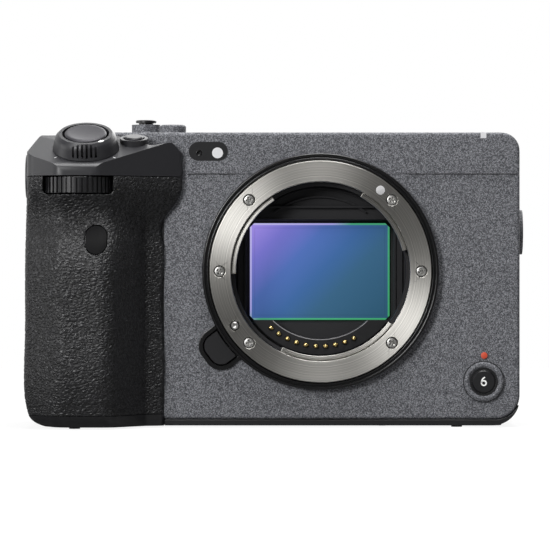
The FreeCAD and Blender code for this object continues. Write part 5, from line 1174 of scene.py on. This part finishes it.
class CAMERA_OT_back(bpy.types.Operator):
    """Makes the marks and ridges of the top, the back, the sides and the base"""

    bl_idname = "camera_looks.back"
    bl_label = "Top, back, sides and base"

    def execute(self, context):
        top = above(*PLANE_MARK, TOP_Z)
        lines = (arc(1.3, 0, 360), straight((-2.4, 0), (2.4, 0)))
        piece("sensor_plane_mark", [stroke(top, line, LINE, PRINT) for line in lines], "white")
        low, high = mm_box("power_switch")
        knob = above(*(low + high)[:2] / 2, high[2])
        ridges = [bar(knob.at(x, 0, -0.25), 0.18, 1.2, 0.25) for x in SWITCH_RIDGES]
        piece("switch_ridges", ridges, "plastic", "power_switch")
        piece("switch_mark", [dot(knob.at(2.2, 0), 0.4, 0.02)], "white", "power_switch")
        wheel = rear(*WHEEL_PLACE, mm_box("control_wheel")[1][1])
        signs = [
            stroke(wheel.at(0, SIGN_CIRCLE), straight((-0.9, 0), (0.9, 0)), LINE, 0.02),
            stroke(wheel.at(0, -SIGN_CIRCLE), arc(0.7, 0, 360), LINE, 0.02),
            stroke(wheel.at(SIGN_CIRCLE, 0), straight((0, -0.9), (0, 0.9)), LINE, 0.02),
            dot(wheel.at(-SIGN_CIRCLE, 0), 0.5, 0.02),
        ]
        piece("wheel_signs", signs, "white", "control_wheel")
        face = mm_box("menu_button")[1][1]
        menu = rear(*MENU_PLACE, face)
        line = straight((-1.1, 0), (1.1, 0))
        lines = [stroke(menu.at(0, up), line, 0.28, PRINT) for up in (-0.8, 0.0, 0.8)]
        piece("menu_lines", lines, "white", "menu_button")
        play = rear(*PLAY_PLACE, face)
        sides = [straight(a, b) for a, b in zip(PLAY_CORNERS, PLAY_CORNERS[1:])]
        sides = [stroke(play, side, LINE, PRINT) for side in sides]
        piece("play_triangle", sides, "white", "play_button")
        for door, board_at, along in RIBBED_DOORS:
            low, high = mm_box(door)
            x = low[0] if along < 0 else high[0]
            board = board_at(x, low[1] + 1.6, (low[2] + high[2]) / 2)
            boards = [board.at(along * step * RIB_PITCH, 0, -0.25) for step in range(3)]
            ribs = [bar(place, 0.16, 2.4, 0.25, 0.06) for place in boards]
            piece(door + "_ribs", ribs, "paint", door)
        latch = below(*LATCH_PLACE, mm_box("battery_door")[0][2])
        slide = [slab(latch, 4.2, 1.7, 0.8, [(0, -0.1), (0, 0.2), (0.15, 0.3)])]
        slide += [bar(latch.at(x, 0, 0.2), 0.14, 1.1, 0.2, 0.06) for x in LATCH_RIDGES]
        piece("battery_latch", slide, "plastic", "battery_door")
        heads = []
        for count, place in enumerate(PLATE_SCREWS):
            heads += cross_head(below(*place, -0.12), 1.5, 0.12, 0.4, 0.3 + 0.9 * count)
        piece("plate_screw_heads", heads, "metal")
        return {"FINISHED"}


class CAMERA_PT_looks(bpy.types.Panel):
    """Lists the steps that dress the camera, and what may be changed"""

    bl_idname = "CAMERA_PT_looks"
    bl_label = "Camera looks"
    bl_space_type = "VIEW_3D"
    bl_region_type = "UI"
    bl_category = "Camera looks"

    def draw(self, context):
        looks = context.scene.camera_looks
        for step in STEPS:
            self.layout.operator(step.bl_idname)
        for group in (looks.colours, looks.sizes):
            for name in group.__annotations__:
                self.layout.prop(group, name)


STEPS = (
    CAMERA_OT_finishes,
    CAMERA_OT_stage,
    CAMERA_OT_grip,
    CAMERA_OT_mount,
    CAMERA_OT_well,
    CAMERA_OT_contacts,
    CAMERA_OT_front,
    CAMERA_OT_threads,
    CAMERA_OT_back,
)
CLASSES = (CameraColours, CameraSizes, CameraLooks, *STEPS, CAMERA_PT_looks)


def register():
    for kind in CLASSES:
        bpy.utils.register_class(kind)
    bpy.types.Scene.camera_looks = bpy.props.PointerProperty(type=CameraLooks)


def unregister():
    del bpy.types.Scene.camera_looks
    for kind in reversed(CLASSES):
        bpy.utils.unregister_class(kind)


def main():
    register()
    for step in STEPS:
        group, name = step.bl_idname.split(".")
        getattr(getattr(bpy.ops, group), name)()


if __name__ == "__main__":
    main()
